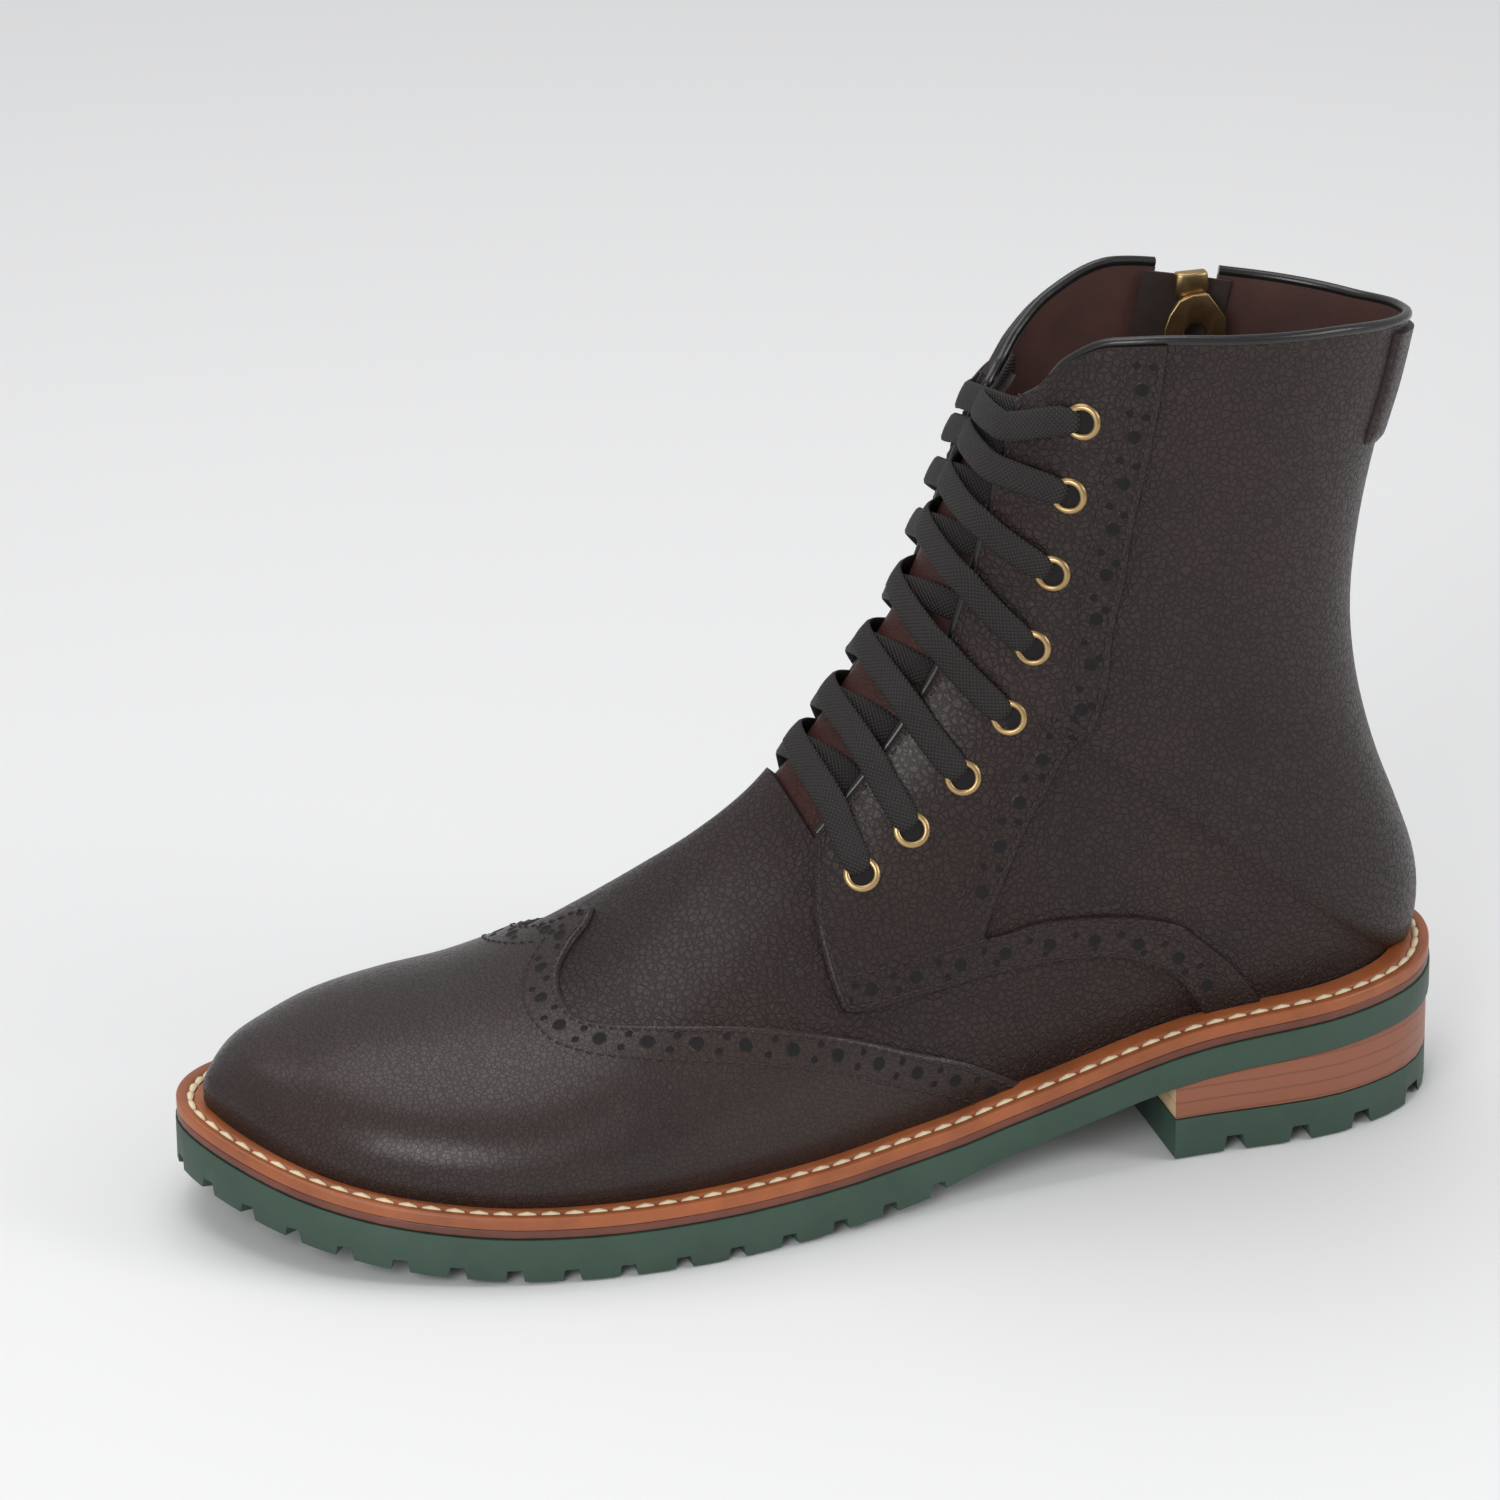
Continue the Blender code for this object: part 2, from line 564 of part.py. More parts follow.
def skin(patches, low, high):
    """Solid between two heights over the last, from patches of (station, girth, side, cells kept)."""
    index = {}
    places = []
    normals = []
    faces = []
    for station, girth, side, keep in patches:
        points = last_point(station, girth, side)
        directions = last_normal(station, girth, side)
        ids = np.empty(station.shape, int)
        for cell in np.ndindex(station.shape):
            key = tuple(np.round(points[cell], 5))
            if key not in index:
                index[key] = len(places)
                places.append(points[cell])
                normals.append(np.zeros(3))
            ids[cell] = index[key]
            normals[ids[cell]] += directions[cell]
        for i in range(station.shape[0] - 1):
            for j in range(station.shape[1] - 1):
                if keep is None or keep[i, j]:
                    quad = [ids[i, j], ids[i + 1, j], ids[i + 1, j + 1], ids[i, j + 1]]
                    for half in ([quad[0], quad[1], quad[2]], [quad[0], quad[2], quad[3]]):
                        faces.append(half if side > 0 else half[::-1])
    places = np.array(places)
    normals = np.array(normals)
    normals /= np.maximum(np.linalg.norm(normals, axis=1), 1e-9)[:, None]
    faces = [[i for k, i in enumerate(face) if i != face[k - 1]] for face in faces]
    faces = [face for face in faces if len(face) > 2]
    used = {}
    for face in faces:
        for a, b in zip(face, face[1:] + face[:1]):
            used.setdefault(frozenset((a, b)), []).append((a, b))
    count = len(places)
    solid = [tuple(i + count for i in face) for face in faces]
    solid += [tuple(reversed(face)) for face in faces]
    for edges in used.values():
        if len(edges) == 1:
            a, b = edges[0]
            solid.append((b, a, a + count, b + count)[::-1])
    low_points = places + low * normals
    high_points = places + high * normals
    return [tuple(p) for p in low_points] + [tuple(p) for p in high_points], solid


def grid(stations, girths):
    """Matching arrays of stations and girths for a patch."""
    return np.repeat(np.asarray(stations)[:, None], girths.shape[1], 1), girths


# Sole

def side_widths(x, inset):
    """Outer and inner edge of the sole at each place along it."""
    sides = outline_sides(inset)
    return [np.interp(x, sides[side][::-1, 0], sides[side][::-1, 1]) for side in (1, -1)]


def slab(name, inset, top, bottom, start=None, stop=None, count=36):
    """Layer of the sole between two heights, whole or from one place to another."""
    path = outline_path(inset)
    first = path[:, 0].min() if start is None else start
    last = path[:, 0].max() if stop is None else stop
    turn = np.linspace(0 if start is None else math.pi / 2, math.pi if stop is None else math.pi / 2, count)
    share = (1 - np.cos(turn)) / 2
    share = (share - share[0]) / (share[-1] - share[0])
    x = first + (last - first) * share
    outer, inner = side_widths(x, inset)
    if start is None:
        outer[0] = inner[0] = path[np.argmin(path[:, 0]), 1]
    if stop is None:
        outer[-1] = inner[-1] = path[np.argmax(path[:, 0]), 1]
    high = top(x)
    low = bottom(x)
    rings = [[(px, left, zh), (px, right, zh), (px, right, zl), (px, left, zl)]
             for px, left, right, zh, zl in zip(x, outer, inner, high, low)]
    points, faces = loft(rings)
    return mesh_from(name, points, faces)


def cut(obj, cutters, operation="DIFFERENCE"):
    """Take cutters away from an object, or keep only what lies inside them."""
    for cutter in cutters:
        modifier = obj.modifiers.new("cut", "BOOLEAN")
        modifier.object = cutter
        modifier.operation = operation
        modifier.solver = "EXACT"


def cutter_object(name, points, faces):
    obj = bpy.data.objects.new(name, mesh_from(name, points, faces))
    CUTTERS.objects.link(obj)
    obj.hide_render = True
    obj.display_type = "WIRE"
    return obj


def notch_rings(place, inward, along_edge, low, depth, width, reach):
    """Trapezoid groove from outside the edge to its inner end, open downwards."""
    rings = []
    for step in (-NOTCH_OVERRUN, reach):
        centre = place + inward * step
        ring = []
        for across, height in ((-0.62, -NOTCH_OVERRUN), (0.62, -NOTCH_OVERRUN), (0.36, depth), (-0.36, depth)):
            spot = centre + along_edge * across * width
            ring.append((spot[0], spot[1], low + height))
        rings.append(ring)
    return rings


def make_tread():
    """Rubber layer with its lugs, along the whole boot."""
    mesh = slab("outsole", 0, tread_top, tread_bottom, count=52)
    tread = finish_object("outsole", mesh, "rubber", smooth=30)
    path = outline_path(0)
    lengths = np.r_[0, np.cumsum(np.linalg.norm(np.diff(path, axis=0), axis=1))]
    first = LUG_START * SOLE_LENGTH
    points = []
    faces = []
    lugged = [i for i in range(len(path)) if path[i, 0] > first]
    start = lengths[lugged[0]]
    count = int(round((lengths[lugged[-1]] - start) / LUG_PITCH))
    for k in range(count + 1):
        at = start + (lengths[lugged[-1]] - start) * k / count
        place = np.array([np.interp(at, lengths, path[:, c]) for c in (0, 1)])
        ahead = np.array([np.interp(at + MM, lengths, path[:, c]) for c in (0, 1)])
        edge = (ahead - place) / np.linalg.norm(ahead - place)
        inward = np.array([edge[1], -edge[0]])
        low = float(tread_bottom(place[0]))
        rings = notch_rings(place, inward, edge, low, LUG_DEPTH, NOTCH_WIDTH, NOTCH_REACH)
        more_points, more_faces = loft(rings)
        faces += [tuple(i + len(points) for i in face) for face in more_faces]
        points += more_points
    cut(tread, [cutter_object("lug_notches", points, faces), field_cutter()])
    return tread


def field_cutter():
    """Shallow field inside the ring of lugs, which leaves cross bars standing between its bays."""
    points = []
    faces = []
    bays = np.linspace(FIELD_START * SOLE_LENGTH, FIELD_STOP * SOLE_LENGTH, FIELD_BAYS + 1)
    for x0, x1 in zip(bays[:-1], bays[1:]):
        stations = np.linspace(x0 + FIELD_BAR / 2, x1 - FIELD_BAR / 2, 3)
        outer, inner = side_widths(stations, FIELD_INSET)
        rings = []
        for x, left, right in zip(stations, outer, inner):
            low = float(tread_bottom(x))
            rings.append([(x, left, low + LUG_DEPTH), (x, right, low + LUG_DEPTH),
                          (x, right, low - NOTCH_OVERRUN), (x, left, low - NOTCH_OVERRUN)])
        more_points, more_faces = loft(rings)
        faces += [tuple(i + len(points) for i in face) for face in more_faces]
        points += more_points
    return cutter_object("tread_field", points, faces)


def make_heel():
    """Leather stack and its rubber top piece."""
    stack_top = lambda x: tread_bottom(x) - GAP
    mesh = slab("heel_stack", HEEL_INSET, stack_top, lambda x: x * 0 + TOP_PIECE_THICKNESS + GAP,
                stop=HEEL_BREAST, count=14)
    finish_object("heel_stack", mesh, "stack", smooth=30)
    mesh = slab("heel_top_piece", HEEL_INSET, lambda x: x * 0 + TOP_PIECE_THICKNESS, lambda x: x * 0,
                stop=HEEL_BREAST, count=14)
    piece = finish_object("heel_top_piece", mesh, "rubber", smooth=30)
    points = []
    faces = []
    sides = outline_sides(HEEL_INSET)
    for side in (1, -1):
        for share in HEEL_NOTCHES:
            x = share * HEEL_BREAST
            y = float(np.interp(x, sides[side][::-1, 0], sides[side][::-1, 1]))
            rings = notch_rings(np.array([x, y]), np.array([0.0, -side]), np.array([1.0, 0.0]), 0.0,
                                HEEL_NOTCH_DEPTH, NOTCH_WIDTH * 1.2, HEEL_NOTCH_REACH)
            more_points, more_faces = loft(rings)
            faces += [tuple(i + len(points) for i in face) for face in more_faces]
            points += more_points
    rings = notch_rings(np.array([HEEL_BREAST, 0.0]), np.array([-1.0, 0.0]), np.array([0.0, 1.0]), 0.0,
                        HEEL_NOTCH_DEPTH, HEEL_GROOVE * 1.6, HEEL_BREAST * 0.62)
    more_points, more_faces = loft(rings)
    faces += [tuple(i + len(points) for i in face) for face in more_faces]
    points += more_points
    cut(piece, [cutter_object("heel_notches", points, faces)])


def rim_stations():
    """Shares of the rim that the upper's stations reach."""
    return section_value("rim", STATIONS[section_value("back", STATIONS) <= 0])


def make_welt():
    """Leather strip all round the upper."""
    outer_paths = outline_sides(WELT_OVERHANG)
    inner_paths = outline_sides(WELT_WIDTH)
    shares = rim_stations()
    rings = []
    for side in (1, -1):
        order = shares if side > 0 else shares[::-1]
        for share in (order[:-1] if side > 0 else order[:-1]):
            outer = along(outer_paths[side], share)
            inner = along(inner_paths[side], share)
            ring = []
            for across, drop in ((0.0, 1.0), (0.0, 0.0), (1.0, 0.0), (1.0, 1.0)):
                spot = outer + (inner - outer) * across
                ring.append((spot[0], spot[1], float(seat_level(spot[0])) + WELT_THICKNESS * (1 - drop)))
            rings.append(ring)
    points, faces = ring_solid(rings)
    finish_object("welt", mesh_from("welt", points, faces), "welt", smooth=30)


def make_sole():
    make_tread()
    mesh = slab("midsole", WELT_OVERHANG, lambda x: tread_top(x) + GAP + MIDSOLE_THICKNESS - GAP,
                lambda x: tread_top(x) + GAP, count=50)
    finish_object("midsole", mesh, "midsole", smooth=30)
    make_heel()
    make_welt()
    mesh = slab("insole", WELT_WIDTH + UPPER_TUCK + WALL + INSOLE_ROOM,
                lambda x: seat_level(x) + INSOLE_THICKNESS,
                seat_level, count=34)
    finish_object("insole", mesh, "lining", smooth=30)


# Upper

def upper_patches(first=0.0, last=1.0, sides=(1, -1)):
    """Cells of the upper between two stations, with the throat and the zip's slot left open."""
    patches = []
    for side in sides:
        girths = columns(STATIONS, side)
        keep = np.ones((len(STATIONS) - 1, girths.shape[1] - 1), bool)
        keep[STATIONS[:-1] >= THROAT_START - 0.001, :THROAT_COLUMNS] = False
        if side < 0:
            slot = THROAT_COLUMNS + FRONT_COLUMNS
            keep[STATIONS[:-1] >= ZIP_START - 0.001, slot:slot + ZIP_COLUMNS] = False
        keep[(STATIONS[1:] < first) | (STATIONS[:-1] > last)] = False
        patches.append((*grid(STATIONS, girths), side, keep))
    return patches


def make_upper():
    """One hollow wall, open at the collar, down the throat, for the zip and underneath."""
    points, faces = skin(upper_patches(), -WALL, 0)
    finish_object("upper", mesh_from("upper", points, faces), "leather")


def hem(station, side):
    """Girth at which an overlay ends, just above the welt."""
    return 1 - HEM_HEIGHT / girth_length(station, side)


def overlay(name, first, last, sides, region):
    """Second layer of leather over the upper, kept where it lies inside a region of the last."""
    points, faces = skin(upper_patches(first, last, sides), GAP, GAP + OVERLAY)
    layer = finish_object(name, mesh_from(name, points, faces), "leather")
    points, faces = skin(region, -REGION_DEPTH, 2 * REGION_DEPTH)
    cut(layer, [cutter_object(name + "_region", points, faces)], "INTERSECT")


def make_wing():
    """Wing cap: the toe's overlay, from the toe tip back to its winged edge."""
    region = []
    shares = np.r_[0, 0.03, 0.08, np.linspace(0.16, 1, WING_STEPS)]
    girths = np.unique(np.r_[WING["girth"], np.linspace(0, 1, 21)].round(3))
    edge = monotone(girths, WING["girth"], WING["station"])
    for side in (1, -1):
        station = shares[:, None] * edge[None, :]
        girth = girths[None, :] * hem(station.ravel(), side).reshape(station.shape)
        region.append((station, girth, side, None))
    overlay("wing_cap", 0.0, max(WING["station"]), (1, -1), region)


def eyestay_lines(side, count):
    """Outer and inner edges of the eyestay as stations and girths."""
    way = np.linspace(0, 1, count)
    value = {name: monotone(way, EYESTAY["way"], EYESTAY[name]) for name in EYESTAY if name != "way"}
    start = throat_edge(np.array([THROAT_START]), side)[0]
    turned = np.clip((way - EYESTAY_TURN) / (EYESTAY_CORNER - EYESTAY_TURN), 0, 1)
    front = throat_edge(value["outer_station"], side) * EYESTAY_LAP
    edge = np.where(way <= EYESTAY_TURN, front, start + (EYESTAY_CORNER_GIRTH - start) * turned)
    edge = np.where(way > EYESTAY_CORNER, value["outer_girth"], edge)
    return value["outer_station"], edge, value["inner_station"], value["inner_girth"]


def make_eyestay(side):
    """Facing with the brogued band that sweeps back to the rim."""
    outer_station, outer_girth, inner_station, inner_girth = eyestay_lines(side, EYESTAY_STEPS)
    across = np.linspace(0, 1, 5)[None, :]
    station = outer_station[:, None] * (1 - across) + inner_station[:, None] * across
    girth = outer_girth[:, None] * (1 - across) + inner_girth[:, None] * across
    girth = np.minimum(girth, hem(station.ravel(), side).reshape(station.shape))
    name = "eyestay_outer" if side > 0 else "eyestay_inner"
    overlay(name, min(EYESTAY["outer_station"]), 1.0, (side,), [(station, girth, side, None)])


def make_back_tab():
    """Small strip sewn over the back seam under the collar."""
    region = []
    for side in (1, -1):
        station = np.linspace(BACK_TAB_STATION, 1, 3)[:, None] * np.ones((1, 5))
        girth = 1 - BACK_TAB_WIDTH / 2 / girth_length(station.ravel(), side).reshape(station.shape)
        girth = girth + (1 - girth) * np.linspace(0, 1, 5)[None, :]
        region.append((station, girth, side, None))
    overlay("back_tab", BACK_TAB_STATION, 1.0, (1, -1), region)


def tube(points, radius, sides):
    """Rings of a round cord through points, without a twist."""
    points = [Vector(point) for point in points]
    rings = []
    axis = None
    for i, point in enumerate(points):
        ahead = points[min(i + 1, len(points) - 1)] - points[max(i - 1, 0)]
        ahead.normalize()
        axis = ahead.orthogonal() if axis is None else axis - ahead * axis.dot(ahead)
        axis.normalize()
        other = ahead.cross(axis)
        rings.append([point + (axis * math.cos(turn) + other * math.sin(turn)) * radius
                      for turn in np.arange(sides) * 2 * math.pi / sides])
    return rings


def edge_step(station, girth, side, along_station):
    """Direction out of the wall's edge: up at the collar, and over the opening at the throat."""
    if along_station:
        step = last_point(station, girth, side) - last_point(station - 0.02, girth, side)
    else:
        step = last_point(station, girth - 0.02, side) - last_point(station, girth, side)
    return step / np.linalg.norm(step)


def facing_line(side, reach):
    """Line along a facing's edge, from the throat up to the collar, held off it by reach."""
    line = []
    for station in STATIONS[STATIONS > THROAT_START + 0.001][:-1]:
        girth = throat_edge(np.array([station]), side)[0]
        middle = shell_point(station, girth, side, -WALL / 3)
        line.append(middle + edge_step(station, girth, side, False) * reach)
    return line


def collar_line(side, girths, reach):
    """Line along the collar's edge, held off it by reach."""
    return [shell_point(1.0, girth, side, -WALL / 3) + edge_step(1.0, girth, side, True) * reach for girth in girths]


def make_piping():
    """Round binding along the facings and the collar: one on each side of the zip."""
    reach = PIPING_DIAMETER / 2 + PIPING_GAP
    girths = {side: columns(STATIONS[-1:], side)[0] for side in (1, -1)}
    slot = THROAT_COLUMNS + FRONT_COLUMNS
    corner = {}
    for side in (1, -1):
        girth = girths[side][THROAT_COLUMNS]
        up = edge_step(1.0, girth, side, True)
        over = edge_step(1.0, girth, side, False)
        corner[side] = [shell_point(1.0, girth, side, -WALL / 3) + (up + over) * reach]
    round_outer = collar_line(1, girths[1][THROAT_COLUMNS + 1:], reach)
    round_back = collar_line(-1, girths[-1][slot + ZIP_COLUMNS:-1], reach)[::-1]
    front_inner = collar_line(-1, girths[-1][THROAT_COLUMNS + 1:slot + 1], reach)
    outer = facing_line(1, reach) + corner[1] + round_outer + round_back
    inner = facing_line(-1, reach) + corner[-1] + front_inner
    for name, line in (("piping_outer", outer), ("piping_inner", inner)):
        points, faces = loft(tube(line, PIPING_DIAMETER / 2, 6))
        finish_object(name, mesh_from(name, points, faces), "piping", smooth=70)


def eyelet_frame(index, side):
    """Centre of an eyelet on the last, and its three directions: across, up the row and out."""
    station = EYELET_STATIONS[index]
    girth = throat_edge(np.array([station]), side)[0] + eyelet_setback(station) / girth_length(station, side)[0]
    centre = Vector(last_point(station, girth, side))
    out = Vector(last_normal(station, girth, side))
    up = Vector(last_point(station + 0.02, girth, side)) - centre
    up = (up - out * up.dot(out)).normalized()
    return centre, up.cross(out).normalized(), up, out, girth


def make_eyelets():
    """Pressed rings down both facings."""
    for side, word in ((1, "outer"), (-1, "inner")):
        for index in range(len(EYELET_STATIONS)):
            centre, across, up, out, girth = eyelet_frame(index, side)
            rings = []
            for radius, height in ((EYELET_HOLE / 2, 0.0), (EYELET_HOLE / 4 + EYELET_OUTER / 4, 1.0),
                                   (EYELET_OUTER / 2, 0.0)):
                level = GAP + OVERLAY + EYELET_LIFT + EYELET_HEIGHT * height
                rings.append([centre + out * level + (across * math.cos(turn) + up * math.sin(turn)) * radius
                              for turn in np.arange(EYELET_SIDES) * 2 * math.pi / EYELET_SIDES])
            sections = [list(ring) for ring in zip(*rings)]
            points, faces = ring_solid(sections)
            name = "eyelet_" + word + "_" + str(index + 1)
            finish_object(name, mesh_from(name, points, faces), "brass", smooth=60)


def strand(index, side, drop=0.0):
    """Rings of one lace run, from an eyelet over the facing's edge to the other facing's next eyelet up."""
    low = EYELET_STATIONS[index]
    high = EYELET_STATIONS[index - 1]
    spots = []
    for climb, across, height in LACE_PATH:
        station = low + (high - low) * climb
        own = side if across < 0.5 else -side
        edge = throat_edge(np.array([station]), own)[0]
        reach = eyelet_setback(station) / girth_length(station, own)[0]
        girth = edge - across * reach if across < 0 else edge * abs(1 - 2 * across)
        spots.append((Vector(shell_point(station, girth, own, height - drop)),
                      Vector(last_normal(station, girth, own))))
    (start, face_start), (edge, face_edge), (ridge, face_a), (end, face_end) = spots
    face_ridge = (face_a + Vector(last_normal(low, 0.0, side)) + Vector(last_normal(low, 0.0, -side))).normalized()
    middle = (edge + end) / 2
    middle += face_ridge * (ridge - middle).dot(face_ridge)
    path = ((start, face_start), (edge, face_edge), (middle, face_ridge), (end, face_end))
    rings = []
    for i, (point, face) in enumerate(path):
        ahead = (path[min(i + 1, 3)][0] - path[max(i - 1, 0)][0]).normalized()
        face = (face - ahead * face.dot(ahead)).normalized()
        width = ahead.cross(face) * (LACE_WIDTH / 2)
        thick = face * (LACE_THICKNESS / 2)
        rings.append([point - width - thick, point + width - thick, point + width + thick, point - width + thick])
    return loft(rings)


def make_laces():
    """Crossings of the lace from each pair of eyelets to the next pair up."""
    for index in range(1, len(EYELET_STATIONS)):
        name = "lace_crossing_" + str(index)
        lace = finish_object(name, mesh_from(name, *strand(index, 1)), "lace")
        cut(lace, [cutter_object(name + "_under", *strand(index, -1, LACE_SINK))], "UNION")


def zip_strip(name, finish, half_width, first, last, low, high, arch=0.0):
    """Strip along the zip between two heights over the last, with an arched top where asked."""
    shares = np.linspace(0, 1, 8)[:, None]
    across = np.linspace(-1, 1, 5 if arch else 3)[None, :]
    top = last - arch * across ** 2
    station = first + (top - first) * shares
    reach = half_width / girth_length(station.ravel(), -1).reshape(station.shape)
    points, faces = skin([(station, ZIP_GIRTH + across * reach, -1, None)], low, high)
    finish_object(name, mesh_from(name, points, faces), finish)


def zip_place(depth):
    """Top of the zip at a depth under the upper's face, with its directions across, up and out."""
    out = Vector(last_normal(SLIDER_STATION, ZIP_GIRTH, -1))
    out = Vector((0, out.y, 0)).normalized()
    up = Vector((0, 0, 1))
    place = Vector(last_point(SLIDER_STATION, ZIP_GIRTH, -1)) - out * depth
    return place, up.cross(out), up, out


def make_zip():
    """Side zip with its tape, teeth, guard, slider and pull."""
    tape = WALL + 3 * GAP
    zip_strip("zip_tape", "tape", ZIP_WIDTH / 2 + TAPE_REACH, ZIP_START, TAPE_STATION, -tape - TAPE_THICKNESS, -tape)
    zip_strip("zip_teeth", "brass", TEETH_WIDTH / 2, ZIP_START + 0.01, TEETH_STATION, GAP - tape, -TEETH_TOP)
    guard = tape + TAPE_THICKNESS + GAP
    zip_strip("zip_guard", "tongue_leather", ZIP_WIDTH / 2 + GUARD_REACH, ZIP_START - 0.01, GUARD_STATION,
              -guard - GUARD_THICKNESS, -guard, GUARD_ARCH)
    place, across, up, out = zip_place(tape + TAPE_THICKNESS + SLIDER_ROOM)
    rings = []
    for step, share in ((-0.5, 0.62), (0.1, 1.0), (0.5, 0.9)):
        ring = []
        for sideways, depth in ((-0.5, 0.0), (0.5, 0.0), (0.5, 0.8), (0.3, 1.0), (-0.3, 1.0), (-0.5, 0.8)):
            ring.append(place + up * (step * SLIDER_LENGTH) + across * (sideways * share * SLIDER_WIDTH)
                        - out * (depth * SLIDER_DEPTH))
        rings.append(ring)
    finish_object("zip_slider", mesh_from("zip_slider", *loft(rings)), "brass", smooth=30)
    make_pull(place - out * (SLIDER_DEPTH + GAP), across, up, out)


def make_pull(place, across, up, out):
    """Flat pull with a round hole, hanging from the slider inside the boot."""
    outline = np.array([PULL["across"], PULL["down"]]).T * [PULL_WIDTH / 2, PULL_LENGTH]
    centre = np.array([0.0, PULL_LENGTH * 0.45])
    dense = along(np.vstack([outline, outline[:1]]), np.linspace(0, 1, 17)[:-1])
    sections = []
    for spot in dense:
        toward = (spot - centre) / np.linalg.norm(spot - centre)
        rim = centre + toward * PULL_HOLE / 2
        section = []
        for flat, depth in ((spot, 0.0), (rim, 0.0), (rim, PULL_THICKNESS), (spot, PULL_THICKNESS)):
            section.append(place + across * flat[0] - up * flat[1] - out * depth)
        sections.append(section)
    finish_object("zip_pull", mesh_from("zip_pull", *ring_solid(sections)), "brass", smooth=30)


def make_tongue():
    """Tongue under the facings, from inside the vamp to above the throat."""
    stations = np.r_[STATIONS[(STATIONS > TONGUE_START) & (STATIONS < TONGUE_STOP)], TONGUE_STOP]
    patches = []
    for side in (1, -1):
        edge = throat_edge(np.maximum(stations, THROAT_START), side)[:, None]
        reach = TONGUE_REACH / girth_length(stations, side)[:, None]
        girths = np.hstack([edge * np.linspace(0, 1, THROAT_COLUMNS + 1)[None, :], edge + reach])
        patches.append((*grid(stations, girths), side, None))
    top = -WALL - TONGUE_ROOM
    points, faces = skin(patches, top - TONGUE_THICKNESS, top)
    finish_object("tongue", mesh_from("tongue", points, faces), "tongue_leather")


clear_scene()
ORIGIN = frame_origin()
PARTS = new_collection("wingtip_boot")
CUTTERS = new_collection("cutters")
make_sole()
make_upper()
make_wing()
make_eyestay(1)
make_eyestay(-1)
make_back_tab()
make_piping()
make_eyelets()
make_laces()
make_zip()
make_tongue()
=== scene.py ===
"""Looks of a wingtip lace-up boot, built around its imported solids."""
import math

import bmesh
import bpy
import numpy as np
from bpy.props import FloatProperty, FloatVectorProperty, IntProperty, PointerProperty
from mathutils import Matrix, Vector


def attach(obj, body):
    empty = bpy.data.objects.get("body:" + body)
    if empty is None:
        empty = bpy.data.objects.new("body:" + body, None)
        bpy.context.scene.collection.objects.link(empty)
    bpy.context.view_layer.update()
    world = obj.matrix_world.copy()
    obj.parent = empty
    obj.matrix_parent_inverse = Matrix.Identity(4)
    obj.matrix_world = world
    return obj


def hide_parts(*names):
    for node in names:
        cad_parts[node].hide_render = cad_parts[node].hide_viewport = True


bl_info = {
    "name": "Wingtip boot",
    "version": (1, 0, 0),
    "blender": (4, 5, 0),
    "location": "View3D > Sidebar > Boot",
    "description": "Builds the leather, sole, laces and zip of a wingtip boot over its solids",
    "category": "Object",
}

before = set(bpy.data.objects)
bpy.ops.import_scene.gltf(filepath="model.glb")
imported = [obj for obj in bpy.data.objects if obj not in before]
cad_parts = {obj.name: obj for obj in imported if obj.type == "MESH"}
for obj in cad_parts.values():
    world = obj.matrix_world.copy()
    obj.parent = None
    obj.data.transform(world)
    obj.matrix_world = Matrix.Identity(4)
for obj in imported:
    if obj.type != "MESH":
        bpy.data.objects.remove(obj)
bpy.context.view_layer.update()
bpy.ops.object.select_all(action="DESELECT")

MM = 0.001
BODY = "boot"

# Sizes of the last, as in the solids
SOLE_LENGTH = 292 * MM
BALL_WIDTH = 108 * MM
INSTEP_HEIGHT = 95 * MM
BOOT_HEIGHT = 184 * MM
SHAFT_WIDTH = 68 * MM
HEEL_HEIGHT = 30 * MM
TOE_SPRING = 12 * MM
RIDGE_SHIFT = 8 * MM
TREAD_THICKNESS = 10 * MM
WAIST_THICKNESS = 7 * MM
MIDSOLE_THICKNESS = 2.3 * MM
WELT_THICKNESS = 2.4 * MM
WELT_WIDTH = 7.2 * MM
HEEL_BREAST = 72 * MM
TOP_PIECE_THICKNESS = 9.5 * MM
WALL = 2.2 * MM
OVERLAY = 1.2 * MM
TONGUE_THICKNESS = 2 * MM
TONGUE_ROOM = 0.8 * MM
THROAT_WIDTH = 38 * MM
COLLAR_RISE = 8 * MM
EYELET_SETBACK = 18.8 * MM
EYELET_CLOSE = 14 * MM
ZIP_WIDTH = 15 * MM
GAP = 0.3 * MM
SEAT_GAP = 0.45 * MM
UPPER_TUCK = 2.2 * MM
HEEL_INSET = 0.6 * MM
WELT_OVERHANG = 0.3 * MM
THROAT_START = 0.574
ZIP_GIRTH = 0.555
ZIP_START = 0.80

# Outline of the sole, seen from above, from the heel back round the outer side and home along the inner side
OUTLINE = {
    "length": (0.000, 0.029, 0.103, 0.242, 0.403, 0.548, 0.690, 0.823, 0.935, 1.000,
               0.961, 0.865, 0.735, 0.597, 0.435, 0.258, 0.103, 0.029),
    "width": (0.000, 0.204, 0.319, 0.340, 0.385, 0.472, 0.512, 0.454, 0.285, -0.030,
              -0.270, -0.425, -0.488, -0.425, -0.305, -0.310, -0.312, -0.204),
}

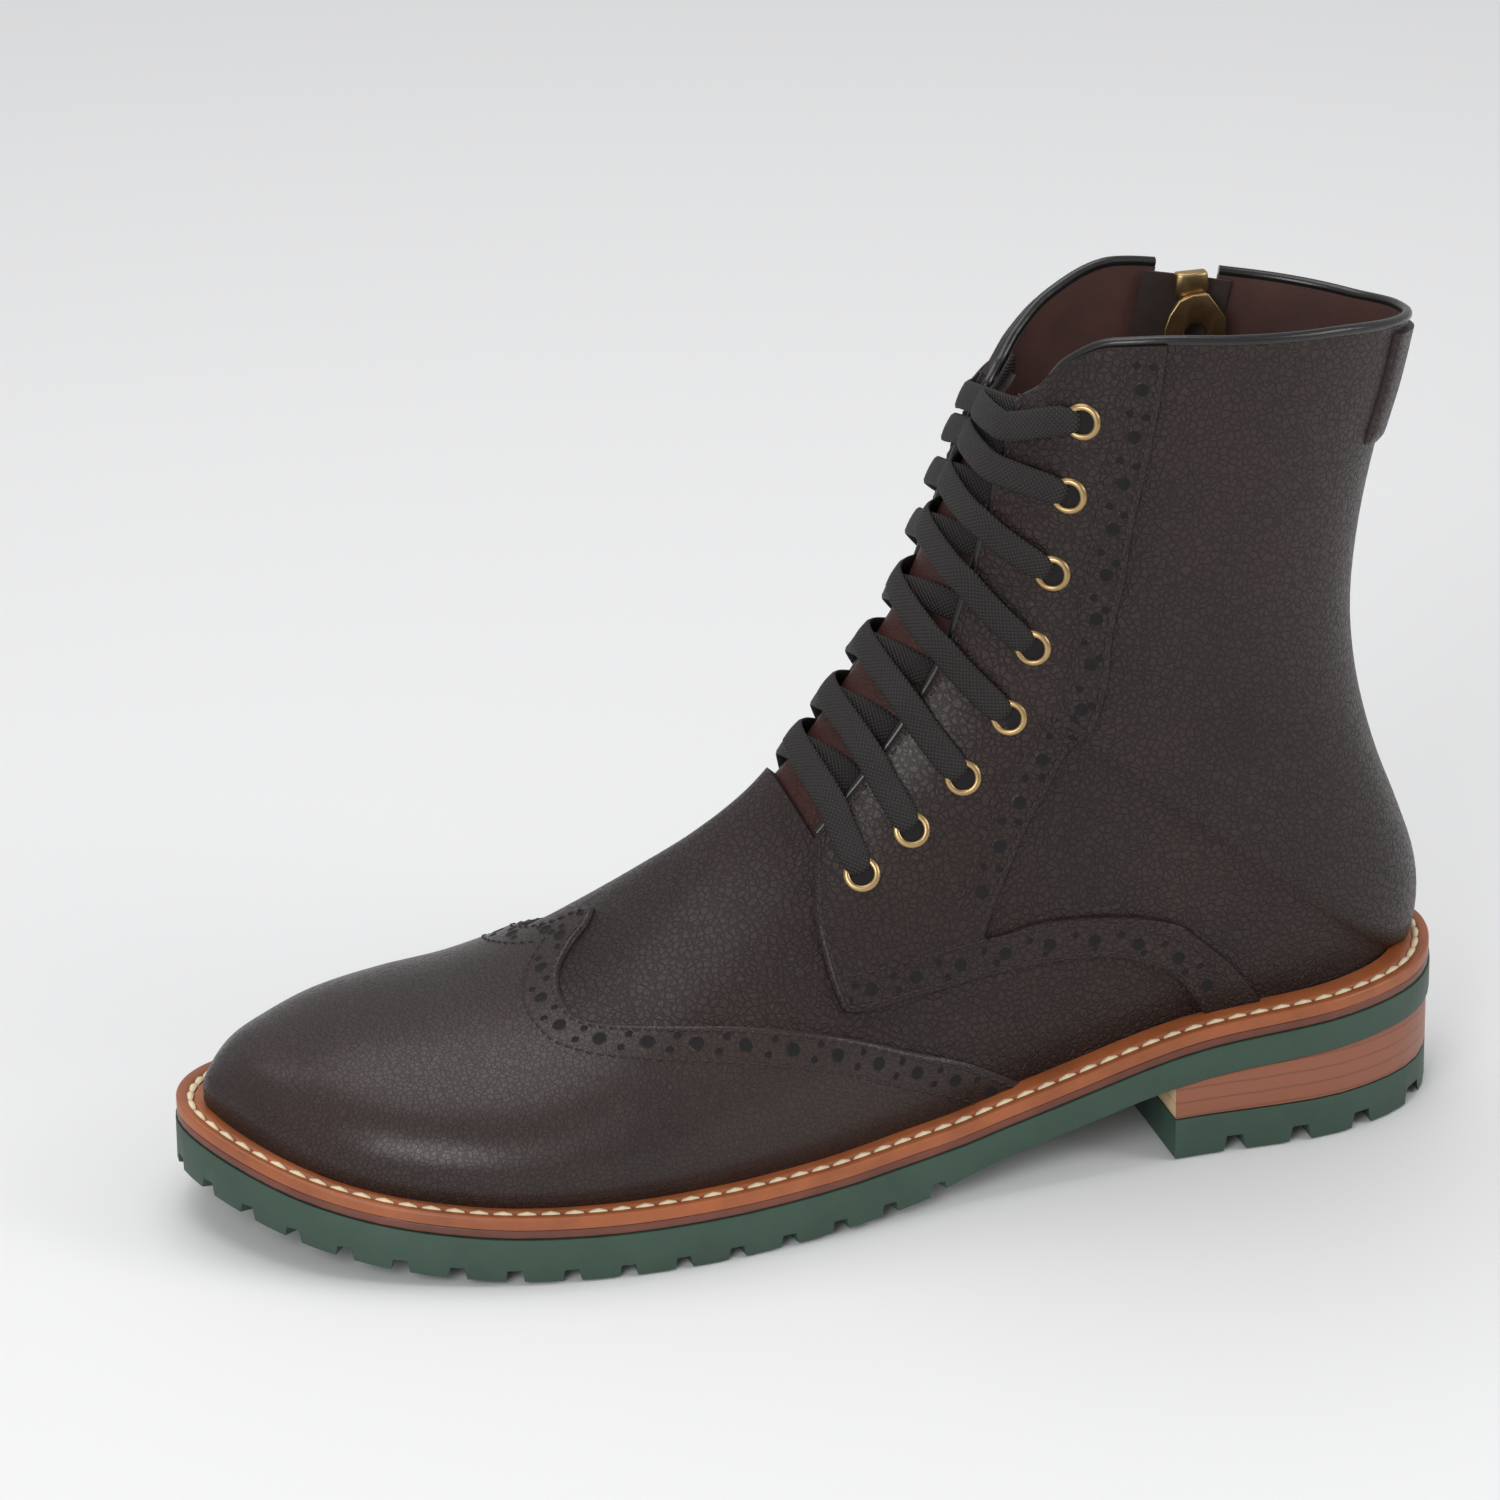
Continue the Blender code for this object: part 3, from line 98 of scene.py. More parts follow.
# Top of the tread layer along the boot: shares of the heel height, tread thickness and toe spring
SOLE_PROFILE = {
    "length": (0.00, 0.11, 0.19, 0.25, 0.28, 0.315, 0.35, 0.39, 0.43, 0.47, 0.54, 0.62, 0.70, 0.77, 0.85, 0.93, 1.0),
    "heel": (1.00, 0.957, 0.905, 0.825, 0.747, 0.64, 0.517, 0.38, 0.247, 0.163, 0.05, 0.0, 0.0, 0.0, 0.0, 0.0, 0.0),
    "tread": (0.00, 0.00, 0.00, 0.00, 0.05, 0.12, 0.25, 0.42, 0.60, 0.75, 0.93, 1.0, 1.0, 1.0, 1.0, 1.0, 1.0),
    "spring": (0.00, 0.00, 0.00, 0.00, 0.00, 0.00, 0.00, 0.00, 0.00, 0.00, 0.00, 0.0, 0.0, 0.04, 0.19, 0.53, 1.0),
}

# Thickness of the tread layer along the boot, as a blend from the waist's thickness to the tread's
TREAD_BLEND = {
    "length": (0.00, 0.40, 0.47, 1.00),
    "tread": (0.00, 0.00, 1.00, 1.00),
}

# Ridge of the last, from the toe tip over the instep to the front of the collar
RIDGE = {
    "length": (0.974, 0.973, 0.966, 0.947, 0.915, 0.874, 0.819, 0.765, 0.710, 0.662,
               0.621, 0.580, 0.539, 0.500, 0.464, 0.433, 0.410, 0.389, 0.370, 0.355),
    "instep": (0.285, 0.318, 0.345, 0.386, 0.414, 0.449, 0.470, 0.488, 0.547, 0.630,
               0.707, 0.787, 0.887, 1.031, 1.182, 1.334, 1.491, 1.663, 1.842, 2.011),
}

# Back line of the last, from the seat to the back of the collar
BACK = {
    "length": (0.0215, 0.0143, 0.0164, 0.0307, 0.0532, 0.0689, 0.0744, 0.0693, 0.0573, 0.0423, 0.0314),
    "height": (0.179, 0.234, 0.293, 0.364, 0.457, 0.554, 0.647, 0.745, 0.842, 0.924, 1.000),
}

# Sections of the last, fanned from the toe tip to the collar: how far each has come along the ridge, the
# rim and the back, where it is widest, its half widths as shares of the shaft, and its fullness
SECTIONS = {
    "station": (0.00, 0.10, 0.20, 0.30, 0.40, 0.50, 0.60, 0.68, 0.75, 0.80, 0.85, 0.90, 0.95, 1.00),
    "ridge": (0.00, 0.08, 0.17, 0.27, 0.37, 0.48, 0.59, 0.66, 0.72, 0.765, 0.815, 0.87, 0.935, 1.00),
    "rim": (0.00, 0.09, 0.18, 0.28, 0.38, 0.50, 0.64, 0.78, 0.91, 1.00, 1.00, 1.00, 1.00, 1.00),
    "back": (0.00, 0.00, 0.00, 0.00, 0.00, 0.00, 0.00, 0.00, 0.00, 0.00, 0.16, 0.42, 0.72, 1.00),
    "widest": (0.80, 0.78, 0.76, 0.74, 0.72, 0.70, 0.68, 0.64, 0.60, 0.56, 0.54, 0.52, 0.50, 0.48),
    "outer": (0.90, 0.90, 0.90, 0.90, 0.90, 0.90, 0.90, 0.92, 0.94, 0.95, 0.96, 0.96, 0.98, 1.00),
    "inner": (0.90, 0.90, 0.90, 0.90, 0.90, 0.90, 0.90, 0.92, 0.94, 0.95, 0.96, 0.96, 0.98, 1.00),
    "rear": (0.00, 0.00, 0.00, 0.00, 0.00, 0.00, 0.10, 0.40, 0.85, 1.00, 1.00, 1.00, 1.00, 1.00),
    "bulge": (0.00, 0.022, 0.032, 0.038, 0.041, 0.041, 0.041, 0.041, 0.041, 0.041, 0.00, 0.00, 0.00, 0.00),
    "front": (2.2, 2.2, 2.1, 2.0, 1.95, 1.9, 1.9, 1.95, 2.0, 2.05, 2.1, 2.1, 2.1, 2.1),
    "tail": (2.0, 2.0, 2.0, 2.0, 2.0, 2.1, 2.2, 2.3, 2.4, 2.4, 2.3, 2.2, 2.1, 2.1),
    "shift": (0.70, 0.80, 0.90, 1.00, 1.00, 1.00, 1.00, 0.95, 0.85, 0.78, 0.70, 0.60, 0.50, 0.45),
}

# The toe's first sections gather on the toe tip over this share of the stations
TOE_BLEND = 0.20

# Collar line, as a rise over its plain section
COLLAR_START = 0.80
COLLAR = {
    "girth": (0.00, 0.13, 0.20, 0.28, 0.42, 0.65, 0.85, 1.00),
    "outer": (-1.80, -1.50, -0.30, 0.45, 0.70, 0.70, 0.40, 0.00),
    "inner": (-2.30, -2.10, -1.40, -0.60, 0.15, -0.20, -0.30, 0.00),
}

# Front edges of the facings: girth from the ridge along the throat, as shares of the throat's width
THROAT = {
    "station": (0.56, 0.64, 0.75, 0.85, 0.92, 1.00),
    "outer": (0.655, 0.622, 0.587, 0.533, 0.467, 0.378),
    "inner": (0.360, 0.380, 0.380, 0.360, 0.330, 0.310),
}
# Edge of the wing cap, from the ridge to the rim
WING = {
    "girth": (0.00, 0.04, 0.09, 0.186, 0.282, 0.37, 0.425, 0.492, 0.572, 0.627, 0.702, 0.797, 0.863, 1.00),
    "station": (0.404, 0.396, 0.372, 0.351, 0.345, 0.349, 0.364, 0.401, 0.464, 0.502, 0.537, 0.567, 0.584, 0.606),
}

# Eyestay: its outer edge runs from the collar down the throat, round the corner and back to the rim, and its
# inner edge keeps a brogued band's width behind it
EYESTAY = {
    "way": (0.00, 0.10, 0.20, 0.30, 0.40, 0.52, 0.58, 0.64, 0.70, 0.76, 0.82, 0.88, 0.94, 1.00),
    "outer_station": (1.00, 0.933, 0.861, 0.782, 0.690, 0.574, 0.541, 0.532, 0.575, 0.622, 0.655, 0.680, 0.690, 0.684),
    "outer_girth": (0.00, 0.00, 0.00, 0.00, 0.00, 0.00, 0.40, 0.617, 0.655, 0.691, 0.732, 0.785, 0.860, 1.00),
    "inner_station": (1.00, 0.955, 0.908, 0.860, 0.800, 0.721, 0.676, 0.632, 0.660, 0.685, 0.706, 0.716, 0.716, 0.708),
    "inner_girth": (0.372, 0.388, 0.372, 0.332, 0.323, 0.409, 0.494, 0.612, 0.632, 0.665, 0.705, 0.753, 0.840, 1.00),
}

# Stations of the eyelets, from the top pair down
EYELET_STATIONS = (0.963, 0.927, 0.884, 0.829, 0.763, 0.698, 0.640, 0.590)


# Curves

def monotone(at, xs, ys):
    """Smooth curve through a table's rows that never swings past them."""
    xs = np.asarray(xs, float)
    ys = np.asarray(ys, float)
    steps = np.diff(xs)
    slopes = np.diff(ys) / steps
    tangents = np.zeros(len(xs))
    for i in range(1, len(xs) - 1):
        if slopes[i - 1] * slopes[i] > 0:
            ahead = 2 * steps[i] + steps[i - 1]
            behind = steps[i] + 2 * steps[i - 1]
            tangents[i] = (ahead + behind) / (ahead / slopes[i - 1] + behind / slopes[i])
    tangents[0] = slopes[0]
    tangents[-1] = slopes[-1]
    at = np.clip(np.asarray(at, float), xs[0], xs[-1])
    i = np.clip(np.searchsorted(xs, at, side="right") - 1, 0, len(xs) - 2)
    h = steps[i]
    u = (at - xs[i]) / h
    return ((1 + 2 * u) * (1 - u) ** 2 * ys[i] + u * (1 - u) ** 2 * h * tangents[i]
            + u * u * (3 - 2 * u) * ys[i + 1] + u * u * (u - 1) * h * tangents[i + 1])


def smooth_path(points, per_span=24, closed=False):
    """Dense Catmull-Rom path through points, open or closed."""
    points = np.asarray(points, float)
    if closed:
        padded = np.vstack([points[-1:], points, points[:2]])
    else:
        padded = np.vstack([2 * points[0] - points[1], points, 2 * points[-1] - points[-2]])
    u = np.linspace(0, 1, per_span, endpoint=False)[:, None]
    out = []
    for a, b, c, d in zip(padded[:-3], padded[1:-2], padded[2:-1], padded[3:]):
        knots = np.cumsum([0.0] + [max(np.linalg.norm(q - p), 1e-9) ** 0.5 for p, q in ((a, b), (b, c), (c, d))])
        t = knots[1] + u * (knots[2] - knots[1])
        ab = (knots[1] - t) / (knots[1] - knots[0]) * a + (t - knots[0]) / (knots[1] - knots[0]) * b
        bc = (knots[2] - t) / (knots[2] - knots[1]) * b + (t - knots[1]) / (knots[2] - knots[1]) * c
        cd = (knots[3] - t) / (knots[3] - knots[2]) * c + (t - knots[2]) / (knots[3] - knots[2]) * d
        abc = (knots[2] - t) / (knots[2] - knots[0]) * ab + (t - knots[0]) / (knots[2] - knots[0]) * bc
        bcd = (knots[3] - t) / (knots[3] - knots[1]) * bc + (t - knots[1]) / (knots[3] - knots[1]) * cd
        out.append((knots[2] - t) / (knots[2] - knots[1]) * abc + (t - knots[1]) / (knots[2] - knots[1]) * bcd)
    if not closed:
        out.append(points[-1:])
    return np.vstack(out)


def along(path, share):
    """Point at a share of a path's length."""
    lengths = np.r_[0, np.cumsum(np.linalg.norm(np.diff(path, axis=0), axis=1))]
    at = np.asarray(share) * lengths[-1]
    return np.stack([np.interp(at, lengths, path[:, k]) for k in range(path.shape[1])], -1)


# Sole outline

def outline_path(inset=0.0):
    """Closed outline of the sole seen from above, moved inwards by inset."""
    table = np.stack([np.array(OUTLINE["length"]) * SOLE_LENGTH, np.array(OUTLINE["width"]) * BALL_WIDTH], 1)
    path = smooth_path(table, closed=True)
    tangent = np.roll(path, -1, 0) - np.roll(path, 1, 0)
    tangent /= np.linalg.norm(tangent, axis=1)[:, None]
    inward = np.stack([tangent[:, 1], -tangent[:, 0]], 1)
    return path + inward * inset


def outline_sides(inset=0.0):
    """Outer and inner halves of the outline, each from the toe tip to the heel back."""
    path = outline_path(inset)
    heel = np.argmin(path[:, 0])
    path = np.roll(path, -heel, axis=0)
    toe = np.argmax(path[:, 0])
    outer = path[:toe + 1][::-1]
    inner = np.vstack([path[toe:], path[:1]])
    return {1: outer, -1: inner}


def frame_origin():
    """Middle of the sole's outline on the ground, where the object's origin is."""
    path = outline_path()
    middle = (path.min(0) + path.max(0)) / 2
    return Vector((middle[0], middle[1], 0.0))


def tread_top(x):
    share = x / SOLE_LENGTH
    return (monotone(share, SOLE_PROFILE["length"], SOLE_PROFILE["heel"]) * HEEL_HEIGHT
            + monotone(share, SOLE_PROFILE["length"], SOLE_PROFILE["tread"]) * TREAD_THICKNESS
            + monotone(share, SOLE_PROFILE["length"], SOLE_PROFILE["spring"]) * TOE_SPRING)


def tread_bottom(x):
    blend = monotone(x / SOLE_LENGTH, TREAD_BLEND["length"], TREAD_BLEND["tread"])
    return tread_top(x) - WAIST_THICKNESS - (TREAD_THICKNESS - WAIST_THICKNESS) * blend


def seat_level(x):
    """Top of the midsole, where the upper and the insole stand."""
    return tread_top(x) + MIDSOLE_THICKNESS + SEAT_GAP


# Form of the last

RIDGE_PATH = smooth_path(np.stack([np.array(RIDGE["length"]) * SOLE_LENGTH,
                                   np.array(RIDGE["instep"]) * INSTEP_HEIGHT], 1))
BACK_PATH = smooth_path(np.stack([np.array(BACK["length"]) * SOLE_LENGTH,
                                  np.array(BACK["height"]) * BOOT_HEIGHT], 1))
RIM_PATHS = outline_sides(WELT_WIDTH + UPPER_TUCK)
TIP_Y = RIM_PATHS[1][0, 1]
SECTION_STEPS = 24


def section_value(name, station):
    return monotone(station, SECTIONS["station"], SECTIONS[name])


def section_lines(station, side):
    """Whole section curves, one per station, from the ridge to the rim or the back line."""
    rear = section_value("rear", station)
    front = along(RIDGE_PATH, section_value("ridge", station))
    rim = along(RIM_PATHS[side], section_value("rim", station))
    back = along(BACK_PATH, section_value("back", station))
    closed = section_value("back", station) > 0
    tip = np.clip(station / TOE_BLEND, 0, 1)
    ridge_y = TIP_Y * (1 - tip) - RIDGE_SHIFT * section_value("shift", station) * tip
    axis_y = ridge_y * (1 - rear)
    end_x = np.where(closed, back[:, 0], rim[:, 0])
    end_z = np.where(closed, back[:, 1], seat_level(rim[:, 0]))
    end_y = np.where(closed, 0.0, np.maximum(side * (rim[:, 1] - axis_y), 0.0))
    half = section_value("outer" if side > 0 else "inner", station) * SHAFT_WIDTH / 2
    width = (1 - rear) * (end_y + section_value("bulge", station) * BALL_WIDTH) + rear * half
    width = np.maximum(width, end_y * 1.002 + 1e-9)
    widest = section_value("widest", station)
    nose = 2 / section_value("front", station)
    tail = 2 / section_value("tail", station)
    last_angle = math.pi - np.arcsin(np.clip((end_y / width) ** (1 / tail), 0, 1))

    turn = np.linspace(0, math.pi / 2, SECTION_STEPS + 1)[None, :]
    front_y = ridge_y[:, None] + (axis_y + side * width - ridge_y)[:, None] * np.sin(turn) ** nose[:, None]
    front_c = widest[:, None] * (1 - np.cos(turn) ** nose[:, None])
    turn = math.pi / 2 + (last_angle[:, None] - math.pi / 2) * np.linspace(0, 1, SECTION_STEPS + 1)[None, 1:]
    tail_y = axis_y[:, None] + side * width[:, None] * np.abs(np.sin(turn)) ** tail[:, None]
    reach = (1 - widest) / np.abs(np.cos(last_angle)) ** tail
    tail_c = widest[:, None] + reach[:, None] * np.abs(np.cos(turn)) ** tail[:, None]
    chord = np.hstack([front_c, tail_c])
    lines = np.empty(chord.shape + (3,))
    lines[..., 0] = front[:, :1] + (end_x - front[:, 0])[:, None] * chord
    lines[..., 1] = np.hstack([front_y, tail_y])
    lines[..., 2] = front[:, 1:] + (end_z - front[:, 1])[:, None] * chord
    return lines


def girth_length(station, side=1):
    """Length of the section curve at a station."""
    lines = section_lines(np.atleast_1d(np.asarray(station, float)), side)
    return np.linalg.norm(np.diff(lines, axis=1), axis=2).sum(1)


def last_point(station, girth, side):
    """Point of the last's surface: station runs from toe to collar, girth from the ridge to the rim or back."""
    station, girth = np.broadcast_arrays(np.asarray(station, float), np.asarray(girth, float))
    shape = station.shape
    station = np.clip(station.ravel(), 0, 1)
    girth = np.clip(girth.ravel(), 0, 1)
    lines = section_lines(station, side)
    lengths = np.linalg.norm(np.diff(lines, axis=1), axis=2).cumsum(1)
    lengths = np.hstack([np.zeros((len(station), 1)), lengths])
    lengths /= np.maximum(lengths[:, -1:], 1e-9)
    i = np.clip((lengths <= girth[:, None]).sum(1) - 1, 0, lengths.shape[1] - 2)
    row = np.arange(len(station))
    share = (girth - lengths[row, i]) / np.maximum(lengths[row, i + 1] - lengths[row, i], 1e-12)
    point = lines[row, i] + (lines[row, i + 1] - lines[row, i]) * share[:, None]
    lift = np.clip((station - COLLAR_START) / (1 - COLLAR_START), 0, 1) ** 2
    rise = monotone(girth, COLLAR["girth"], COLLAR["outer" if side > 0 else "inner"])
    point[:, 2] += rise * COLLAR_RISE * lift
    return point.reshape(shape + (3,))


def last_normal(station, girth, side):
    """Direction straight out of the last's surface."""
    station, girth = np.broadcast_arrays(np.asarray(station, float), np.asarray(girth, float))
    step = 0.004
    s0 = np.clip(station - step, step, 1)
    s1 = np.clip(station + step, step, 1)
    g0 = np.clip(girth - step, 0, 1)
    g1 = np.clip(girth + step, 0, 1)
    s0 = np.where(s1 - s0 < step, s1 - step, s0)
    station = np.clip(station, step, 1)
    along_station = last_point(s1, girth, side) - last_point(s0, girth, side)
    along_girth = last_point(station, g1, side) - last_point(station, g0, side)
    normal = np.cross(along_girth, along_station) * side
    return normal / np.maximum(np.linalg.norm(normal, axis=-1, keepdims=True), 1e-12)


def shell_point(station, girth, side, offset=0.0):
    """Point at a height over the last's surface."""
    return last_point(station, girth, side) + offset * last_normal(station, girth, side)


# Lines on the last, as girth shares

def throat_edge(station, side):
    """Where the facing's front edge runs."""
    arc = monotone(station, THROAT["station"], THROAT["outer" if side > 0 else "inner"]) * THROAT_WIDTH
    return arc / girth_length(station, side)


def eyelet_setback(station):
    """Distance of the eyelets from the facing's edge, less towards the foot of the facing."""
    return np.interp(station, (0.59, 0.75), (EYELET_CLOSE, EYELET_SETBACK))


def zip_edges(station):
    """The two edges of the zip's slot on the inner side."""
    half = ZIP_WIDTH / 2 / girth_length(station, -1)
    return ZIP_GIRTH - half, ZIP_GIRTH + half


ORIGIN = np.array(frame_origin())


# Grids over the last, where across runs from -1 at the inner rim over the ridge at 0 to 1 at the outer rim

def surface(station, across):
    """Points of the last in the boot's frame."""
    station, across = np.broadcast_arrays(np.asarray(station, float), np.asarray(across, float))
    outer = last_point(station, np.abs(across), 1)
    inner = last_point(station, np.abs(across), -1)
    return np.where((across >= 0)[..., None], outer, inner) - ORIGIN


def outward(station, across):
    """Directions straight out of the last, blended where its two halves meet."""
    station, across = np.broadcast_arrays(np.asarray(station, float), np.asarray(across, float))
    outer = last_normal(station, np.abs(across), 1)
    inner = last_normal(station, np.abs(across), -1)
    girth = np.abs(across)
    seam = np.clip(1 - girth / 0.05, 0, 1) + np.clip(1 - (1 - girth) / 0.04, 0, 1) * (station > ZIP_START)
    seam = np.maximum(seam, np.clip(1 - station / 0.03, 0, 1))
    share = np.where(across >= 0, 1 - seam / 2, seam / 2)[..., None]
    normal = outer * share + inner * (1 - share)
    return normal / np.maximum(np.linalg.norm(normal, axis=-1, keepdims=True), 1e-9)


def raised(station, across, height):
    """Points at a height over the last."""
    return surface(station, across) + outward(station, across) * np.asarray(height)[..., None]


def puckers(points):
    """Depth of the listed creases at points of the upper."""
    depth = np.zeros(points.shape[:-1])
    for middle, direction, length, width, amount in CREASES:
        middle = np.array(middle) * MM
        direction = np.array(direction, float)
        direction /= np.linalg.norm(direction)
        away = points - middle
        run = away @ direction
        off = np.linalg.norm(away - run[..., None] * direction, axis=-1)
        depth += amount * MM * np.exp(-(off / (width * MM)) ** 2 - (run / (length * MM)) ** 2)
    return depth


# Creases: middle in millimetres, direction, half length, half width and depth, below zero for a trough
CREASES = (
    ((-60, 33, 96), (1.0, 0.0, 0.55), 26, 4.0, -0.8),
    ((-66, 33, 84), (1.0, 0.0, 0.45), 28, 4.5, -0.7),
    ((-48, 33, 112), (1.0, 0.0, 0.70), 20, 4.0, -0.5),
    ((-92, 33, 104), (1.0, 0.0, 0.20), 24, 5.0, -0.6),
    ((-60, -33, 96), (1.0, 0.0, 0.55), 26, 4.0, -0.8),
    ((-70, -33, 82), (1.0, 0.0, 0.35), 28, 4.5, -0.7),
    ((52, 20, 62), (0.25, 1.0, -0.35), 20, 3.5, -0.5),
    ((60, 8, 58), (0.15, 1.0, -0.10), 26, 3.5, -0.6),
    ((40, 26, 60), (0.35, 1.0, -0.70), 22, 3.5, -0.4),
    ((58, -20, 60), (0.15, -1.0, -0.30), 22, 3.5, -0.5),
)


def new_mesh(name, points, faces, materials, indices=None, smooth=50, uv=None):
    """Finished object from points and faces, with its place in its mesh."""
    mesh = bpy.data.meshes.new(name)
    mesh.from_pydata([tuple(p) for p in np.asarray(points, float)], [], [tuple(int(i) for i in f) for f in faces])
    for entry in materials:
        mesh.materials.append(entry)
    if indices is not None:
        mesh.polygons.foreach_set("material_index", np.asarray(indices, dtype=np.int32))
    if uv is not None:
        layer = mesh.uv_layers.new(name="along")
        loops = np.empty(len(mesh.loops), dtype=np.int32)
        mesh.loops.foreach_get("vertex_index", loops)
        layer.data.foreach_set("uv", np.asarray(uv, dtype=np.float32)[loops].ravel())
    mesh.validate()
    mesh.shade_smooth()
    mesh.set_sharp_from_angle(angle=math.radians(smooth))
    obj = bpy.data.objects.new(name, mesh)
    bpy.context.scene.collection.objects.link(obj)
    return obj


def close_mesh(obj, distance=0.00001):
    """Merge doubles and turn every face outwards."""
    bm = bmesh.new()
    bm.from_mesh(obj.data)
    bmesh.ops.remove_doubles(bm, verts=bm.verts, dist=distance)
    bmesh.ops.recalc_face_normals(bm, faces=bm.faces)
    bm.to_mesh(obj.data)
    bm.free()
    return obj


def place(obj, slot, *nodes, body=BODY):
    """The piece rides on its body and stands for its nodes; its slot is not used."""
    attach(obj, body)
    if nodes:
        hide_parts(*nodes)
    return obj


def ironed(base, station, across, rounds=50):
    """Grid of points with the folds beside the heel eased out."""
    weight = np.interp(station, (0.70, 0.76, 0.88, 0.95), (0, 1, 1, 0)) * np.interp(abs(across), (0.45, 0.65), (0, 1))
    weight = weight * np.interp(abs(across), (0.90, 0.98), (1, 0))
    for step in (0.5, -0.51) * rounds:
        middle = (base[:-2, 1:-1] + base[2:, 1:-1] + base[1:-1, :-2] + base[1:-1, 2:]) / 4
        base[1:-1, 1:-1] += (middle - base[1:-1, 1:-1]) * step * weight[1:-1, 1:-1, None]
    return base


def shell(name, station, across, keep, low, high, materials, smooth=60, eased=False):
    """Closed skin over a grid of the last: outside, inside and cut edges each with a material."""
    normal = outward(station, across)
    base = surface(station, across)
    if eased:
        base = ironed(base, station, across)
    base = base + normal * puckers(base)[..., None]
    rows, cols = station.shape
    ids = np.arange(rows * cols).reshape(rows, cols)
    if keep is None:
        keep = np.ones((rows - 1, cols - 1), bool)
    top = base + normal * np.broadcast_to(high, station.shape)[..., None]
    under = base + normal * np.broadcast_to(low, station.shape)[..., None]
    count = rows * cols
    quads = np.stack([ids[:-1, :-1], ids[:-1, 1:], ids[1:, 1:], ids[1:, :-1]], -1)[keep]
    flip = quads[:, ::-1] + count
    edges = {}
    for quad in quads:
        for k in range(4):
            a, b = int(quad[k]), int(quad[(k + 1) % 4])
            if (b, a) in edges:
                del edges[(b, a)]
            else:
                edges[(a, b)] = True
    walls = [(a, b, b + count, a + count) for a, b in edges]
    points = np.vstack([top.reshape(-1, 3), under.reshape(-1, 3)])
    faces = [tuple(q) for q in quads] + [tuple(q) for q in flip] + walls
    indices = [0] * len(quads) + [1] * len(flip) + [2] * len(walls)
    obj = new_mesh(name, points, faces, materials, indices, smooth)
    bm = bmesh.new()
    bm.from_mesh(obj.data)
    bmesh.ops.delete(bm, geom=[v for v in bm.verts if not v.link_faces], context="VERTS")
    bmesh.ops.remove_doubles(bm, verts=bm.verts, dist=0.00002)
    seen = {}
    double = []
    for face in bm.faces:
        key = frozenset(v.index for v in face.verts)
        if key in seen:
            double += [face, seen[key]]
        seen[key] = face
    bmesh.ops.delete(bm, geom=list(set(double)), context="FACES")
    bmesh.ops.recalc_face_normals(bm, faces=bm.faces)
    bm.to_mesh(obj.data)
    bm.free()
    return obj


def smoothed(values, count):
    """Finer steps through a list of shares."""
    return np.interp(np.linspace(0, len(values) - 1, count), np.arange(len(values)), values)


def upper_grid():
    """Stations and across values of the upper, and which cells are leather."""
    stations = np.unique(np.r_[0, 0.004, 0.008, np.linspace(0.014, THROAT_START, 72),
                               np.linspace(THROAT_START, ZIP_START, 34), np.linspace(ZIP_START, 1.0, 42)].round(5))
    columns = {}
    for side in (1, -1):
        throat = throat_edge(np.maximum(stations, THROAT_START), side)[:, None]
        ahead, behind = (edge[:, None] for edge in zip_edges(np.maximum(stations, ZIP_START)))
        columns[side] = np.hstack([throat * np.linspace(0, 1, 7)[None, :],
                                   throat + (ahead - throat) * np.linspace(0, 1, 21)[None, 1:],
                                   ahead + (behind - ahead) * np.linspace(0, 1, 5)[None, 1:],
                                   behind + (1 - behind) * np.linspace(0, 1, 19)[None, 1:]])
    across = np.hstack([-columns[-1][:, ::-1], columns[1][:, 1:]])
    station = np.repeat(stations[:, None], across.shape[1], 1)
    keep = np.ones((len(stations) - 1, across.shape[1] - 1), bool)
    middle = columns[-1].shape[1] - 1
    late = stations[:-1] >= THROAT_START - 0.0001
    keep[late, middle - 6:middle + 6] = False
    late = stations[:-1] >= ZIP_START - 0.0001
    keep[late, 18:22] = False
    return station, across, keep


def edge_profile(count):
    """Height shares of an overlay that rolls down at its cut edge."""
    shares = np.ones(count)
    shares[-1] = 0.35
    shares[-2] = 0.82
    shares[-3] = 0.97
    return shares


def wing_grid():
    """Stations and across values of the wing cap, close together at its edge."""
    shares = np.r_[0, 0.01, 0.02, np.linspace(0.04, 0.975, 74), 0.987, 0.995, 1.0]
    girths = np.linspace(0, 1, 64)
    edge = monotone(girths, WING["girth"], WING["station"])
    across = np.r_[-girths[::-1], girths[1:]]
    edge = np.r_[edge[::-1], edge[1:]]
    station = shares[:, None] * edge[None, :]
    height = np.interp(shares, [0, 0.987, 0.995, 1.0], [1.0, 1.0, 0.85, 0.35])
    return station, np.repeat(across[None, :], len(shares), 0), height[:, None] * np.ones_like(station)


def eyestay_lines(side, way):
    """Outer and inner edges of the eyestay as stations and girths."""
    value = {name: monotone(way, EYESTAY["way"], EYESTAY[name]) for name in EYESTAY if name != "way"}
    turn, corner, corner_girth = 0.52, 0.64, 0.617
    start = throat_edge(np.array([THROAT_START]), side)[0]
    turned = np.clip((way - turn) / (corner - turn), 0, 1)
    front = throat_edge(value["outer_station"], side)
    edge = np.where(way <= turn, front, start + (corner_girth - start) * turned)
    edge = np.where(way > corner, value["outer_girth"], edge)
    return value["outer_station"], edge, value["inner_station"], value["inner_girth"]


